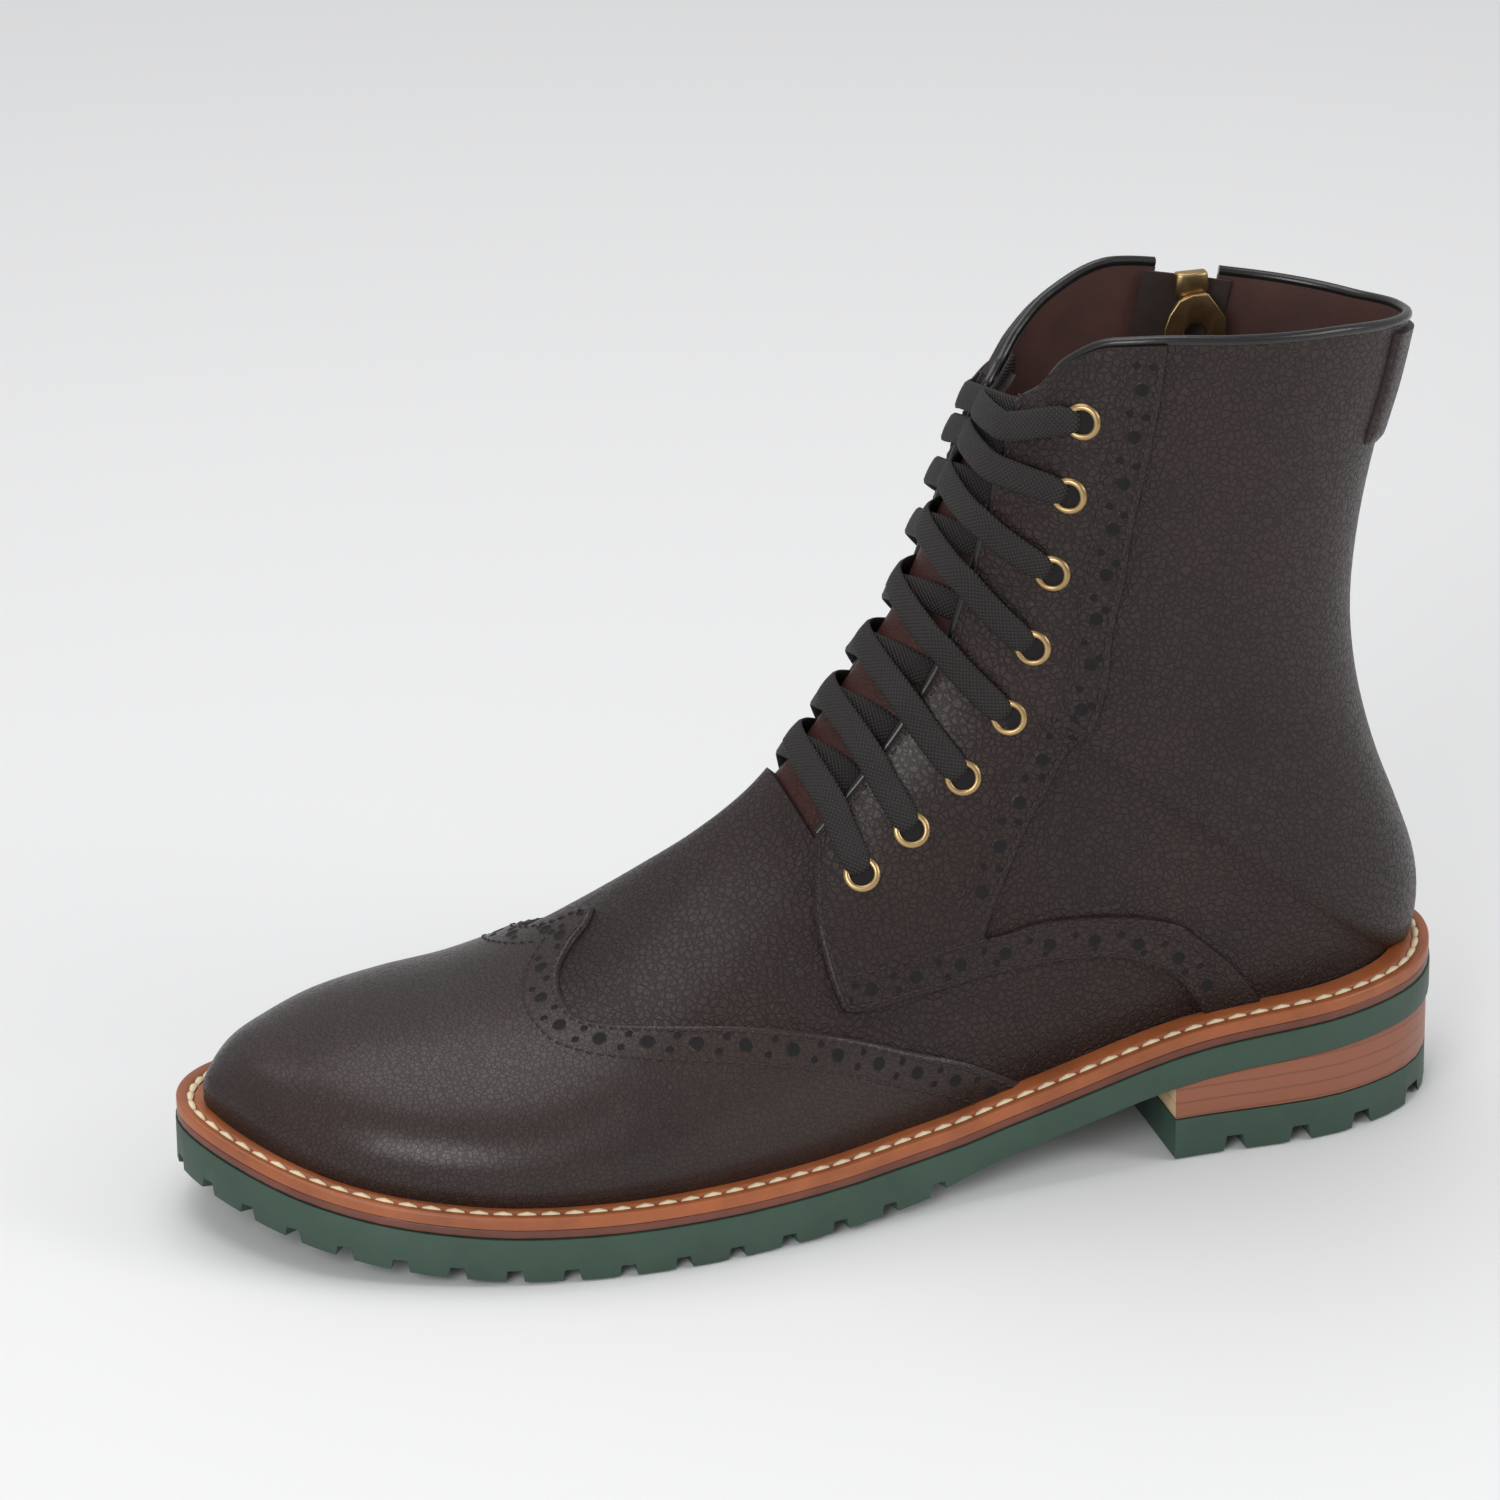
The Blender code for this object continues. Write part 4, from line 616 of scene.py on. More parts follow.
def eyestay_grid(side):
    """Stations, across values and height shares of a facing with its swept band."""
    way = np.linspace(0, 1, 150)
    outer_station, outer_girth, inner_station, inner_girth = eyestay_lines(side, way)
    shares = np.r_[0, 0.012, 0.03, np.linspace(0.06, 0.94, 24), 0.97, 0.988, 1.0][None, :]
    station = outer_station[:, None] * (1 - shares) + inner_station[:, None] * shares
    girth = outer_girth[:, None] * (1 - shares) + inner_girth[:, None] * shares
    height = np.interp(shares[0], [0, 0.012, 0.03, 0.97, 0.988, 1.0], [0.35, 0.85, 1.0, 1.0, 0.85, 0.35])
    return station, girth * side, height[None, :] * np.ones_like(station)


# Pieces that repeat along a line

def frames_along(station, across, pitch, height, start=0.5):
    """Places at even steps along a line on the last: points, directions along it and out of it."""
    line = raised(station, across, np.full(len(station), height))
    out = outward(station, across)
    lengths = np.r_[0, np.cumsum(np.linalg.norm(np.diff(line, axis=0), axis=1))]
    count = max(int(lengths[-1] / pitch), 1)
    at = (np.arange(count) + start) * lengths[-1] / count
    spots = np.stack([np.interp(at, lengths, line[:, k]) for k in range(3)], -1)
    normals = np.stack([np.interp(at, lengths, out[:, k]) for k in range(3)], -1)
    ahead = np.stack([np.interp(at + 0.3 * MM, lengths, line[:, k]) for k in range(3)], -1)
    behind = np.stack([np.interp(at - 0.3 * MM, lengths, line[:, k]) for k in range(3)], -1)
    tangents = ahead - behind
    return spots, unit(tangents), unit(normals)


def unit(vectors):
    return vectors / np.maximum(np.linalg.norm(vectors, axis=-1, keepdims=True), 1e-9)


def scatter(name, template, frames, materials, smooth=60):
    """One mesh with a copy of a small shape at each place."""
    points, faces, indices = template
    spots, tangents, normals = frames
    sides = unit(np.cross(normals, tangents))
    normals = np.cross(tangents, sides)
    points = np.asarray(points, float)
    placed = (spots[:, None, :] + points[None, :, 0:1] * tangents[:, None, :]
              + points[None, :, 1:2] * sides[:, None, :] + points[None, :, 2:3] * normals[:, None, :])
    all_faces = [tuple(i + k * len(points) for i in face) for k in range(len(spots)) for face in faces]
    return new_mesh(name, placed.reshape(-1, 3), all_faces, materials, list(indices) * len(spots), smooth)


def join_frames(parts):
    return tuple(np.vstack([part[k] for part in parts]) for k in range(3))


def stitch_shape(length, radius):
    """Thread lying in its hole at both ends, as a small spindle."""
    rings = []
    for share, size in ((-0.5, 0.25), (-0.36, 0.8), (0.0, 1.0), (0.36, 0.8), (0.5, 0.25)):
        lift = radius * (0.35 - 1.3 * (2 * share) ** 4)
        rings.append([(share * length, math.cos(a) * radius * size, math.sin(a) * radius * size * 0.8 + lift)
                      for a in np.arange(6) * math.pi / 3])
    points = [p for ring in rings for p in ring]
    faces = [(i * 6 + j, i * 6 + (j + 1) % 6, (i + 1) * 6 + (j + 1) % 6, (i + 1) * 6 + j)
             for i in range(4) for j in range(6)]
    faces += [tuple(range(5, -1, -1)), tuple(range(24, 30))]
    return points, faces, [0] * len(faces)


def hole_shape(radius):
    """Punched hole: a dark floor of painted shade, standing in for the shadow in the hole, inside a lip that the punch
    has pressed down.
    """
    sides = 14
    rings = ((radius * 0.92, 0.03 * MM), (radius * 1.06, 0.10 * MM), (radius * 1.30, -0.06 * MM))
    points = [(0.0, 0.0, 0.01 * MM)]
    for size, height in rings:
        points += [(math.cos(a) * size, math.sin(a) * size, height) for a in np.arange(sides) * 2 * math.pi / sides]
    faces = [(0, 1 + j, 1 + (j + 1) % sides) for j in range(sides)]
    indices = [0] * sides
    for ring in range(len(rings) - 1):
        for j in range(sides):
            a, b = 1 + ring * sides + j, 1 + ring * sides + (j + 1) % sides
            faces.append((a, a + sides, b + sides, b))
            indices.append(1 if ring else 0)
    return points, faces, indices


def ribbon(name, points, normals, widths, thickness, materials):
    """Flat woven band through points, with its length and width as its UV map."""
    points = np.asarray(points, float)
    tangents = unit(np.gradient(points, axis=0))
    sides = unit(np.cross(tangents, normals))
    normals = np.cross(sides, tangents)
    lengths = np.r_[0, np.cumsum(np.linalg.norm(np.diff(points, axis=0), axis=1))]
    profile = [(-1.0, -0.25), (-0.8, -0.8), (-0.4, -1.0), (0.0, -1.0), (0.4, -1.0), (0.8, -0.8), (1.0, -0.25),
               (1.0, 0.25), (0.8, 0.8), (0.4, 1.0), (0.0, 1.08), (-0.4, 1.0), (-0.8, 0.8), (-1.0, 0.25)]
    count = len(profile)
    placed = []
    uv = []
    for i, point in enumerate(points):
        for x, y in profile:
            placed.append(point + sides[i] * x * widths[i] / 2 + normals[i] * y * thickness / 2)
            uv.append((lengths[i], x * widths[i] / 2))
    faces = [(i * count + j, i * count + (j + 1) % count, (i + 1) * count + (j + 1) % count, (i + 1) * count + j)
             for i in range(len(points) - 1) for j in range(count)]
    faces += [tuple(range(count))[::-1], tuple(range((len(points) - 1) * count, len(points) * count))]
    return close_mesh(new_mesh(name, placed, faces, materials, uv=uv, smooth=80))


def cord_mesh(name, points, radius, materials, sides=12):
    """Round cord through points, closed at both ends."""
    points = np.asarray(points, float)
    tangents = unit(np.gradient(points, axis=0))
    axis = np.cross(tangents[0], [0.3, 0.5, 0.8])
    placed = []
    for point, tangent in zip(points, tangents):
        axis = axis - tangent * np.dot(axis, tangent)
        axis = axis / np.linalg.norm(axis)
        other = np.cross(tangent, axis)
        placed += [point + (axis * math.cos(a) + other * math.sin(a)) * radius
                   for a in np.arange(sides) * 2 * math.pi / sides]
    faces = [(i * sides + j, i * sides + (j + 1) % sides, (i + 1) * sides + (j + 1) % sides, (i + 1) * sides + j)
             for i in range(len(points) - 1) for j in range(sides)]
    faces += [tuple(range(sides))[::-1], tuple(range((len(points) - 1) * sides, len(points) * sides))]
    return close_mesh(new_mesh(name, placed, faces, materials, smooth=80))


def carried(node, name, materials, bevel=0.0, smooth=35, segments=2):
    """Copy of a solid, merged, with its edges softened."""
    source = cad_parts[node]
    mesh = source.data.copy()
    mesh.name = name
    mesh.materials.clear()
    for entry in materials:
        mesh.materials.append(entry)
    obj = bpy.data.objects.new(name, mesh)
    bpy.context.scene.collection.objects.link(obj)
    bm = bmesh.new()
    bm.from_mesh(mesh)
    bmesh.ops.remove_doubles(bm, verts=bm.verts, dist=0.00001)
    bmesh.ops.dissolve_limit(bm, angle_limit=math.radians(1.0), verts=bm.verts, edges=bm.edges)
    for face in bm.faces:
        face.material_index = 0
    bm.to_mesh(mesh)
    bm.free()
    if bevel:
        modifier = obj.modifiers.new("edges", "BEVEL")
        modifier.width = bevel
        modifier.segments = segments
        modifier.limit_method = "ANGLE"
        modifier.angle_limit = math.radians(40)
        modifier.harden_normals = False
        bpy.ops.object.select_all(action="DESELECT")
        obj.select_set(True)
        bpy.context.view_layer.objects.active = obj
        bpy.ops.object.modifier_apply(modifier=modifier.name)
        obj.select_set(False)
    obj.data.shade_smooth()
    obj.data.set_sharp_from_angle(angle=math.radians(smooth))
    return obj


# Shader groups shared by the materials

def new_group(name, inputs, outputs):
    """Empty node group with its sockets, inputs as (name, kind, default)."""
    group = bpy.data.node_groups.new(name, "ShaderNodeTree")
    for label, kind, default in inputs:
        socket = group.interface.new_socket(name=label, in_out="INPUT", socket_type=kind)
        if default is not None:
            socket.default_value = default
    for label, kind in outputs:
        group.interface.new_socket(name=label, in_out="OUTPUT", socket_type=kind)
    start = group.nodes.new("NodeGroupInput")
    end = group.nodes.new("NodeGroupOutput")
    return group, start, end


def math_node(tree, operation, first, second=None, third=None):
    """Math node fed by sockets or numbers."""
    node = tree.nodes.new("ShaderNodeMath")
    node.operation = operation
    for index, value in enumerate((first, second, third)):
        if value is None:
            continue
        if isinstance(value, (int, float)):
            node.inputs[index].default_value = value
        else:
            tree.links.new(value, node.inputs[index])
    return node.outputs[0]


def scaled(tree, vector, factor):
    """Vector times a number or a socket."""
    node = tree.nodes.new("ShaderNodeVectorMath")
    node.operation = "SCALE"
    tree.links.new(vector, node.inputs[0])
    if isinstance(factor, (int, float)):
        node.inputs["Scale"].default_value = factor
    else:
        tree.links.new(factor, node.inputs["Scale"])
    return node.outputs[0]


def grain_group():
    """Pebbled grain: rounded cells between fine creases, with smaller cells inside them."""
    group, start, end = new_group("pebble_grain", (("Vector", "NodeSocketVector", None),
                                                   ("Cells per metre", "NodeSocketFloat", 700.0),
                                                   ("Crease width", "NodeSocketFloat", 0.16)),
                                  (("Height", "NodeSocketFloat"), ("Creases", "NodeSocketFloat")))
    links = group.links
    base = scaled(group, start.outputs["Vector"], start.outputs["Cells per metre"])
    warp = group.nodes.new("ShaderNodeTexNoise")
    warp.inputs["Scale"].default_value = 0.35
    warp.inputs["Detail"].default_value = 3.0
    links.new(base, warp.inputs["Vector"])
    shift = group.nodes.new("ShaderNodeVectorMath")
    shift.operation = "MULTIPLY_ADD"
    links.new(warp.outputs["Color"], shift.inputs[0])
    shift.inputs[1].default_value = (1.4, 1.4, 1.4)
    links.new(base, shift.inputs[2])
    cells = group.nodes.new("ShaderNodeTexVoronoi")
    cells.feature = "DISTANCE_TO_EDGE"
    cells.inputs["Scale"].default_value = 1.0
    links.new(shift.outputs[0], cells.inputs["Vector"])
    fine = group.nodes.new("ShaderNodeTexVoronoi")
    fine.feature = "DISTANCE_TO_EDGE"
    fine.inputs["Scale"].default_value = 2.6
    links.new(shift.outputs[0], fine.inputs["Vector"])
    rounded = group.nodes.new("ShaderNodeMapRange")
    rounded.interpolation_type = "SMOOTHSTEP"
    links.new(cells.outputs["Distance"], rounded.inputs["Value"])
    links.new(start.outputs["Crease width"], rounded.inputs["From Max"])
    small = group.nodes.new("ShaderNodeMapRange")
    small.interpolation_type = "SMOOTHSTEP"
    small.inputs["From Max"].default_value = 0.12
    links.new(fine.outputs["Distance"], small.inputs["Value"])
    height = math_node(group, "MULTIPLY_ADD", small.outputs[0], 0.22, rounded.outputs[0])
    links.new(height, end.inputs["Height"])
    links.new(math_node(group, "SUBTRACT", 1.0, rounded.outputs[0]), end.inputs["Creases"])
    return group


def mottle_group():
    """Soft uneven tone, large over small."""
    group, start, end = new_group("mottle", (("Vector", "NodeSocketVector", None),
                                             ("Spots per metre", "NodeSocketFloat", 30.0)),
                                  (("Mask", "NodeSocketFloat"),))
    large = group.nodes.new("ShaderNodeTexNoise")
    large.inputs["Detail"].default_value = 5.0
    large.inputs["Roughness"].default_value = 0.6
    group.links.new(start.outputs["Vector"], large.inputs["Vector"])
    group.links.new(start.outputs["Spots per metre"], large.inputs["Scale"])
    spread = group.nodes.new("ShaderNodeMapRange")
    spread.inputs["From Min"].default_value = 0.32
    spread.inputs["From Max"].default_value = 0.68
    group.links.new(large.outputs["Fac"], spread.inputs["Value"])
    group.links.new(spread.outputs[0], end.inputs["Mask"])
    return group


def weave_group():
    """Braided band: threads that slant from both edges to the middle, from a map of length and width."""
    group, start, end = new_group("braid", (("Vector", "NodeSocketVector", None),
                                            ("Threads per metre", "NodeSocketFloat", 900.0)),
                                  (("Height", "NodeSocketFloat"), ("Gaps", "NodeSocketFloat")))
    split = group.nodes.new("ShaderNodeSeparateXYZ")
    group.links.new(scaled(group, start.outputs["Vector"], start.outputs["Threads per metre"]), split.inputs[0])
    slant = math_node(group, "MULTIPLY", split.outputs["Y"], 1.0)
    first = math_node(group, "SINE", math_node(group, "MULTIPLY",
                                               math_node(group, "ADD", split.outputs["X"], slant), 3.14159))
    second = math_node(group, "SINE", math_node(group, "MULTIPLY",
                                                math_node(group, "SUBTRACT", split.outputs["X"], slant), 3.14159))
    height = math_node(group, "MULTIPLY", first, second)
    height = math_node(group, "ABSOLUTE", height)
    group.links.new(height, end.inputs["Height"])
    group.links.new(math_node(group, "SUBTRACT", 1.0, height), end.inputs["Gaps"])
    return group


GROUPS = {}


def group_node(tree, name):
    """Placed copy of a shared group."""
    if name not in GROUPS:
        GROUPS[name] = {"grain": grain_group, "mottle": mottle_group, "weave": weave_group}[name]()
    node = tree.nodes.new("ShaderNodeGroup")
    node.node_tree = GROUPS[name]
    return node


def blank_material(name):
    """Material with its shader and the object's own coordinates."""
    material = bpy.data.materials.new(name)
    material.use_nodes = True
    tree = material.node_tree
    shader = tree.nodes["Principled BSDF"]
    coordinates = tree.nodes.new("ShaderNodeTexCoord")
    return material, tree, shader, coordinates


def mixed_colour(tree, factor, dark, light):
    """Colour between two, by a mask."""
    node = tree.nodes.new("ShaderNodeMix")
    node.data_type = "RGBA"
    tree.links.new(factor, node.inputs["Factor"])
    node.inputs["A"].default_value = (*dark, 1)
    node.inputs["B"].default_value = (*light, 1)
    return node.outputs["Result"]


def bumped(tree, shader, height, distance, strength=1.0):
    """Bump fed into the shader."""
    node = tree.nodes.new("ShaderNodeBump")
    node.inputs["Distance"].default_value = distance
    node.inputs["Strength"].default_value = strength
    tree.links.new(height, node.inputs["Height"])
    tree.links.new(node.outputs["Normal"], shader.inputs["Normal"])


def shade(value, factor):
    return tuple(channel * factor for channel in value)


def leather_material(name, colour, cells=650.0, depth=0.16, roughness=0.42, coat=0.25, crease=0.16, dark=0.45):
    """Grained leather: cells and creases, uneven tone, painted shade darkening the grain's creases, and gloss worn on
    the raised grain.
    """
    material, tree, shader, coordinates = blank_material(name)
    grain = group_node(tree, "grain")
    grain.inputs["Cells per metre"].default_value = cells
    grain.inputs["Crease width"].default_value = crease
    tree.links.new(coordinates.outputs["Object"], grain.inputs["Vector"])
    mottle = group_node(tree, "mottle")
    mottle.inputs["Spots per metre"].default_value = 28.0
    tree.links.new(coordinates.outputs["Object"], mottle.inputs["Vector"])
    tone = mixed_colour(tree, mottle.outputs["Mask"], shade(colour, 0.72), shade(colour, 1.25))
    # Painted shade: the colour darkens towards a third of the leather's in the grain's creases, by the crease mask; a
    # larger dark share paints less of it
    crease_shade = tree.nodes.new("ShaderNodeMix")
    crease_shade.data_type = "RGBA"
    tree.links.new(math_node(tree, "MULTIPLY", grain.outputs["Creases"], 1 - dark), crease_shade.inputs["Factor"])
    tree.links.new(tone, crease_shade.inputs["A"])
    crease_shade.inputs["B"].default_value = (*shade(colour, 0.35), 1)
    tree.links.new(crease_shade.outputs["Result"], shader.inputs["Base Color"])
    rough = tree.nodes.new("ShaderNodeMapRange")
    tree.links.new(grain.outputs["Creases"], rough.inputs["Value"])
    rough.inputs["To Min"].default_value = roughness
    rough.inputs["To Max"].default_value = roughness + 0.28
    uneven = math_node(tree, "MULTIPLY_ADD", mottle.outputs["Mask"], 0.10, rough.outputs[0])
    tree.links.new(uneven, shader.inputs["Roughness"])
    shader.inputs["Coat Weight"].default_value = coat
    shader.inputs["Specular IOR Level"].default_value = 0.32
    shader.inputs["Coat Roughness"].default_value = 0.32
    bumped(tree, shader, grain.outputs["Height"], depth * MM)
    return material


def plain_material(name, colour, roughness=0.5, cells=900.0, depth=0.05, spread=0.25, metallic=0.0):
    """Even finish with a fine tooth and a little uneven tone."""
    material, tree, shader, coordinates = blank_material(name)
    noise = tree.nodes.new("ShaderNodeTexNoise")
    noise.inputs["Scale"].default_value = cells
    noise.inputs["Detail"].default_value = 4.0
    tree.links.new(coordinates.outputs["Object"], noise.inputs["Vector"])
    mottle = group_node(tree, "mottle")
    mottle.inputs["Spots per metre"].default_value = 60.0
    tree.links.new(coordinates.outputs["Object"], mottle.inputs["Vector"])
    tone = mixed_colour(tree, mottle.outputs["Mask"], shade(colour, 1 - spread), shade(colour, 1 + spread))
    tree.links.new(tone, shader.inputs["Base Color"])
    rough = math_node(tree, "MULTIPLY_ADD", noise.outputs["Fac"], 0.16, roughness - 0.08)
    tree.links.new(rough, shader.inputs["Roughness"])
    shader.inputs["Metallic"].default_value = metallic
    bumped(tree, shader, noise.outputs["Fac"], depth * MM)
    return material


def stack_material(name, colour, breast):
    """Stacked leather: thin layers across its height, natural at the breast that faces the toe."""
    material, tree, shader, coordinates = blank_material(name)
    split = tree.nodes.new("ShaderNodeSeparateXYZ")
    tree.links.new(coordinates.outputs["Object"], split.inputs[0])
    noise = tree.nodes.new("ShaderNodeTexNoise")
    noise.inputs["Scale"].default_value = 40.0
    tree.links.new(coordinates.outputs["Object"], noise.inputs["Vector"])
    level = math_node(tree, "MULTIPLY_ADD", noise.outputs["Fac"], 0.0012, split.outputs["Z"])
    wave = math_node(tree, "SINE", math_node(tree, "MULTIPLY", level, 2 * math.pi / (3.4 * MM)))
    line = tree.nodes.new("ShaderNodeMapRange")
    line.inputs["From Min"].default_value = 0.86
    line.inputs["From Max"].default_value = 1.0
    tree.links.new(wave, line.inputs["Value"])
    edge = mixed_colour(tree, line.outputs[0], colour, shade(colour, 0.72))
    geometry = tree.nodes.new("ShaderNodeNewGeometry")
    facing = tree.nodes.new("ShaderNodeSeparateXYZ")
    tree.links.new(geometry.outputs["Normal"], facing.inputs[0])
    front = tree.nodes.new("ShaderNodeMapRange")
    front.inputs["From Min"].default_value = 0.85
    front.inputs["From Max"].default_value = 0.95
    tree.links.new(facing.outputs["X"], front.inputs["Value"])
    both = tree.nodes.new("ShaderNodeMix")
    both.data_type = "RGBA"
    tree.links.new(front.outputs[0], both.inputs["Factor"])
    tree.links.new(edge, both.inputs["A"])
    natural = mixed_colour(tree, line.outputs[0], breast, shade(breast, 0.72))
    tree.links.new(natural, both.inputs["B"])
    tree.links.new(both.outputs["Result"], shader.inputs["Base Color"])
    shader.inputs["Roughness"].default_value = 0.42
    bumped(tree, shader, math_node(tree, "SUBTRACT", 1.0, line.outputs[0]), 0.05 * MM)
    return material


def woven_material(name, colour, threads=900.0, depth=0.25, roughness=0.62):
    """Waxed braid for the lace and the zip's tape, with painted shade darkening the gaps between its threads."""
    material, tree, shader, coordinates = blank_material(name)
    weave = group_node(tree, "weave")
    weave.inputs["Threads per metre"].default_value = threads
    tree.links.new(coordinates.outputs["UV"], weave.inputs["Vector"])
    # Painted shade: the colour darkens in the gaps between the threads and is lighter on the thread tops
    tone = mixed_colour(tree, weave.outputs["Gaps"], shade(colour, 1.35), shade(colour, 0.35))
    tree.links.new(tone, shader.inputs["Base Color"])
    rough = math_node(tree, "MULTIPLY_ADD", weave.outputs["Gaps"], 0.2, roughness - 0.1)
    tree.links.new(rough, shader.inputs["Roughness"])
    bumped(tree, shader, weave.outputs["Height"], depth * MM)
    return material


MATERIALS = {}


def finish(name):
    """Material by the name of the finish, made when first used."""
    if name in MATERIALS:
        return MATERIALS[name]
    colours = bpy.context.scene.boot_colours
    leather = tuple(colours.leather)
    if name == "leather":
        made = leather_material("grained_leather", leather, 620.0, 0.42, 0.36, 0.25)
    elif name == "cap":
        made = leather_material("polished_leather", leather, 760.0, 0.20, 0.31, 0.35, 0.12, 0.6)
    elif name == "edge":
        made = plain_material("cut_leather", shade(leather, 0.8), 0.5)
    elif name == "tongue":
        made = leather_material("tongue_leather", tuple(colours.tongue), 900.0, 0.08, 0.45, 0.1, 0.12, 0.6)
    elif name == "lining":
        made = plain_material("lining_leather", tuple(colours.lining), 0.75, 700.0, 0.06)
    elif name == "suede":
        made = plain_material("raw_suede", (0.30, 0.13, 0.075), 0.9, 1500.0, 0.15)
    elif name == "piping":
        made = plain_material("glossy_binding", (0.010, 0.009, 0.009), 0.28, 500.0, 0.06)
    elif name == "hole":
        # Near-black painted shade for the floors of the punched holes and the eyelets' middles, standing in for the
        # shadow down in them
        made = plain_material("painted_hole_shade", (0.003, 0.002, 0.002), 0.9)
    elif name == "thread":
        made = plain_material("dark_thread", shade(leather, 0.45), 0.55, 2500.0, 0.05)
    elif name == "welt":
        made = plain_material("welt_leather", tuple(colours.welt), 0.42, 300.0, 0.05, 0.22)
    elif name == "welt_thread":
        made = plain_material("cream_thread", tuple(colours.welt_thread), 0.65, 2500.0, 0.08, 0.1)
    elif name == "midsole":
        made = plain_material("dyed_leather_edge", tuple(colours.midsole), 0.40, 500.0, 0.05)
    elif name == "rubber":
        made = plain_material("green_rubber", tuple(colours.rubber), 0.55, 1200.0, 0.05, 0.12)
    elif name == "stack":
        made = stack_material("stacked_leather", tuple(colours.stack), (0.62, 0.44, 0.26))
    elif name == "brass":
        made = plain_material("antique_brass", tuple(colours.brass), 0.34, 400.0, 0.02, 0.2, 1.0)
    elif name == "lace":
        made = woven_material("waxed_braid", tuple(colours.lace))
    elif name == "tape":
        made = plain_material("zip_tape_weave", (0.025, 0.014, 0.011), 0.85, 1800.0, 0.1)
    else:
        raise ValueError("no finish called " + name)
    MATERIALS[name] = made
    return made


# Settings that a user would change

class BootSizes(bpy.types.PropertyGroup):
    """Sizes of the fine work."""
    stitch_pitch: FloatProperty(name="Stitch pitch", description="From one stitch to the next", default=2.6 * MM,
                                unit="LENGTH")
    stitch_radius: FloatProperty(name="Stitch radius", description="Half the thread's width", default=0.32 * MM,
                                 unit="LENGTH")
    large_hole: FloatProperty(name="Large hole radius", description="Radius of the large punched holes",
                              default=1.45 * MM, unit="LENGTH")
    small_hole: FloatProperty(name="Small hole radius", description="Radius of the paired small holes",
                              default=0.75 * MM, unit="LENGTH")
    hole_pitch: FloatProperty(name="Hole pitch", description="From one large hole to the next", default=10.6 * MM,
                              unit="LENGTH")
    lace_width: FloatProperty(name="Lace width", description="Width of the flat lace", default=6.6 * MM,
                              unit="LENGTH")
    lace_thickness: FloatProperty(name="Lace thickness", description="Thickness of the flat lace",
                                  default=1.5 * MM, unit="LENGTH")
    piping: FloatProperty(name="Binding width", description="Diameter of the collar's binding", default=2.4 * MM,
                          unit="LENGTH")
    welt_stitch: FloatProperty(name="Welt stitch", description="Length of a stitch on the welt",
                               default=5.2 * MM, unit="LENGTH")
    welt_stitches: IntProperty(name="Welt stitches", description="Stitches round the welt", default=126)


def colour_property(name, description, default):
    return FloatVectorProperty(name=name, description=description, default=default, subtype="COLOR", min=0, max=1)


class BootColours(bpy.types.PropertyGroup):
    """Colours of the boot's materials."""
    leather: colour_property("Leather", "Outer leather", (0.0235, 0.0110, 0.0085))
    tongue: colour_property("Tongue", "Tongue leather", (0.050, 0.014, 0.010))
    lining: colour_property("Lining", "Lining leather", (0.060, 0.022, 0.016))
    welt: colour_property("Welt", "Welt leather", (0.30, 0.085, 0.026))
    welt_thread: colour_property("Welt thread", "Thread of the welt's seam", (0.72, 0.60, 0.40))
    midsole: colour_property("Midsole", "Edge of the midsole", (0.13, 0.038, 0.022))
    rubber: colour_property("Rubber", "Rubber of the sole", (0.030, 0.064, 0.044))
    stack: colour_property("Heel stack", "Edge of the heel's layers", (0.26, 0.088, 0.045))
    brass: colour_property("Brass", "Eyelets and zip", (0.42, 0.29, 0.14))
    lace: colour_property("Lace", "Woven lace", (0.0115, 0.0080, 0.0068))


# Operators, one for each piece or group of like pieces

class BOOT_OT_upper(bpy.types.Operator):
    """Hollow upper with its lining"""
    bl_idname = "boot.upper"
    bl_label = "Upper"

    def execute(self, context):
        station, across, keep = upper_grid()
        obj = shell("upper_leather", station, across, keep, -WALL, 0.0,
                    (finish("leather"), finish("lining"), finish("edge")), eased=True)
        place(obj, "leather", "upper")
        return {"FINISHED"}


class BOOT_OT_wing(bpy.types.Operator):
    """Wing cap over the toe"""
    bl_idname = "boot.wing"
    bl_label = "Wing cap"

    def execute(self, context):
        station, across, height = wing_grid()
        obj = shell("wing_cap_leather", station, across, None, -0.1 * MM, height * (OVERLAY + GAP),
                    (finish("cap"), finish("edge"), finish("edge")))
        place(obj, "leather", "wing_cap")
        return {"FINISHED"}


class BOOT_OT_eyestays(bpy.types.Operator):
    """Both facings with their swept bands, and the back tab"""
    bl_idname = "boot.eyestays"
    bl_label = "Eyestays and back tab"

    def execute(self, context):
        for side, word in ((1, "outer"), (-1, "inner")):
            station, across, height = eyestay_grid(side)
            obj = shell("eyestay_leather_" + word, station, across, None, -0.1 * MM, height * (OVERLAY + GAP),
                        (finish("leather"), finish("edge"), finish("edge")))
            place(obj, "leather", "eyestay_" + word)
        shares = np.r_[0, 0.02, 0.05, np.linspace(0.1, 0.9, 14), 0.95, 0.98, 1.0]
        station = np.linspace(0.967, 0.998, 16)[:, None] * np.ones((1, len(shares)))
        half = 23 * MM / girth_length(station[:, 0], 1)[:, None]
        across = 1 - half + 2 * half * shares[None, :]
        across = np.where(across > 1, across - 2, across)
        height = np.interp(shares, [0, 0.02, 0.05, 0.95, 0.98, 1.0], [0.35, 0.85, 1, 1, 0.85, 0.35])
        height = height[None, :] * np.interp(np.arange(16), [0, 1, 2], [0.35, 0.9, 1.0])[:, None]
        obj = shell("back_tab_leather", station, across, None, -0.1 * MM, height * (OVERLAY + GAP),
                    (finish("leather"), finish("edge"), finish("edge")))
        place(obj, "leather", "back_tab")
        return {"FINISHED"}


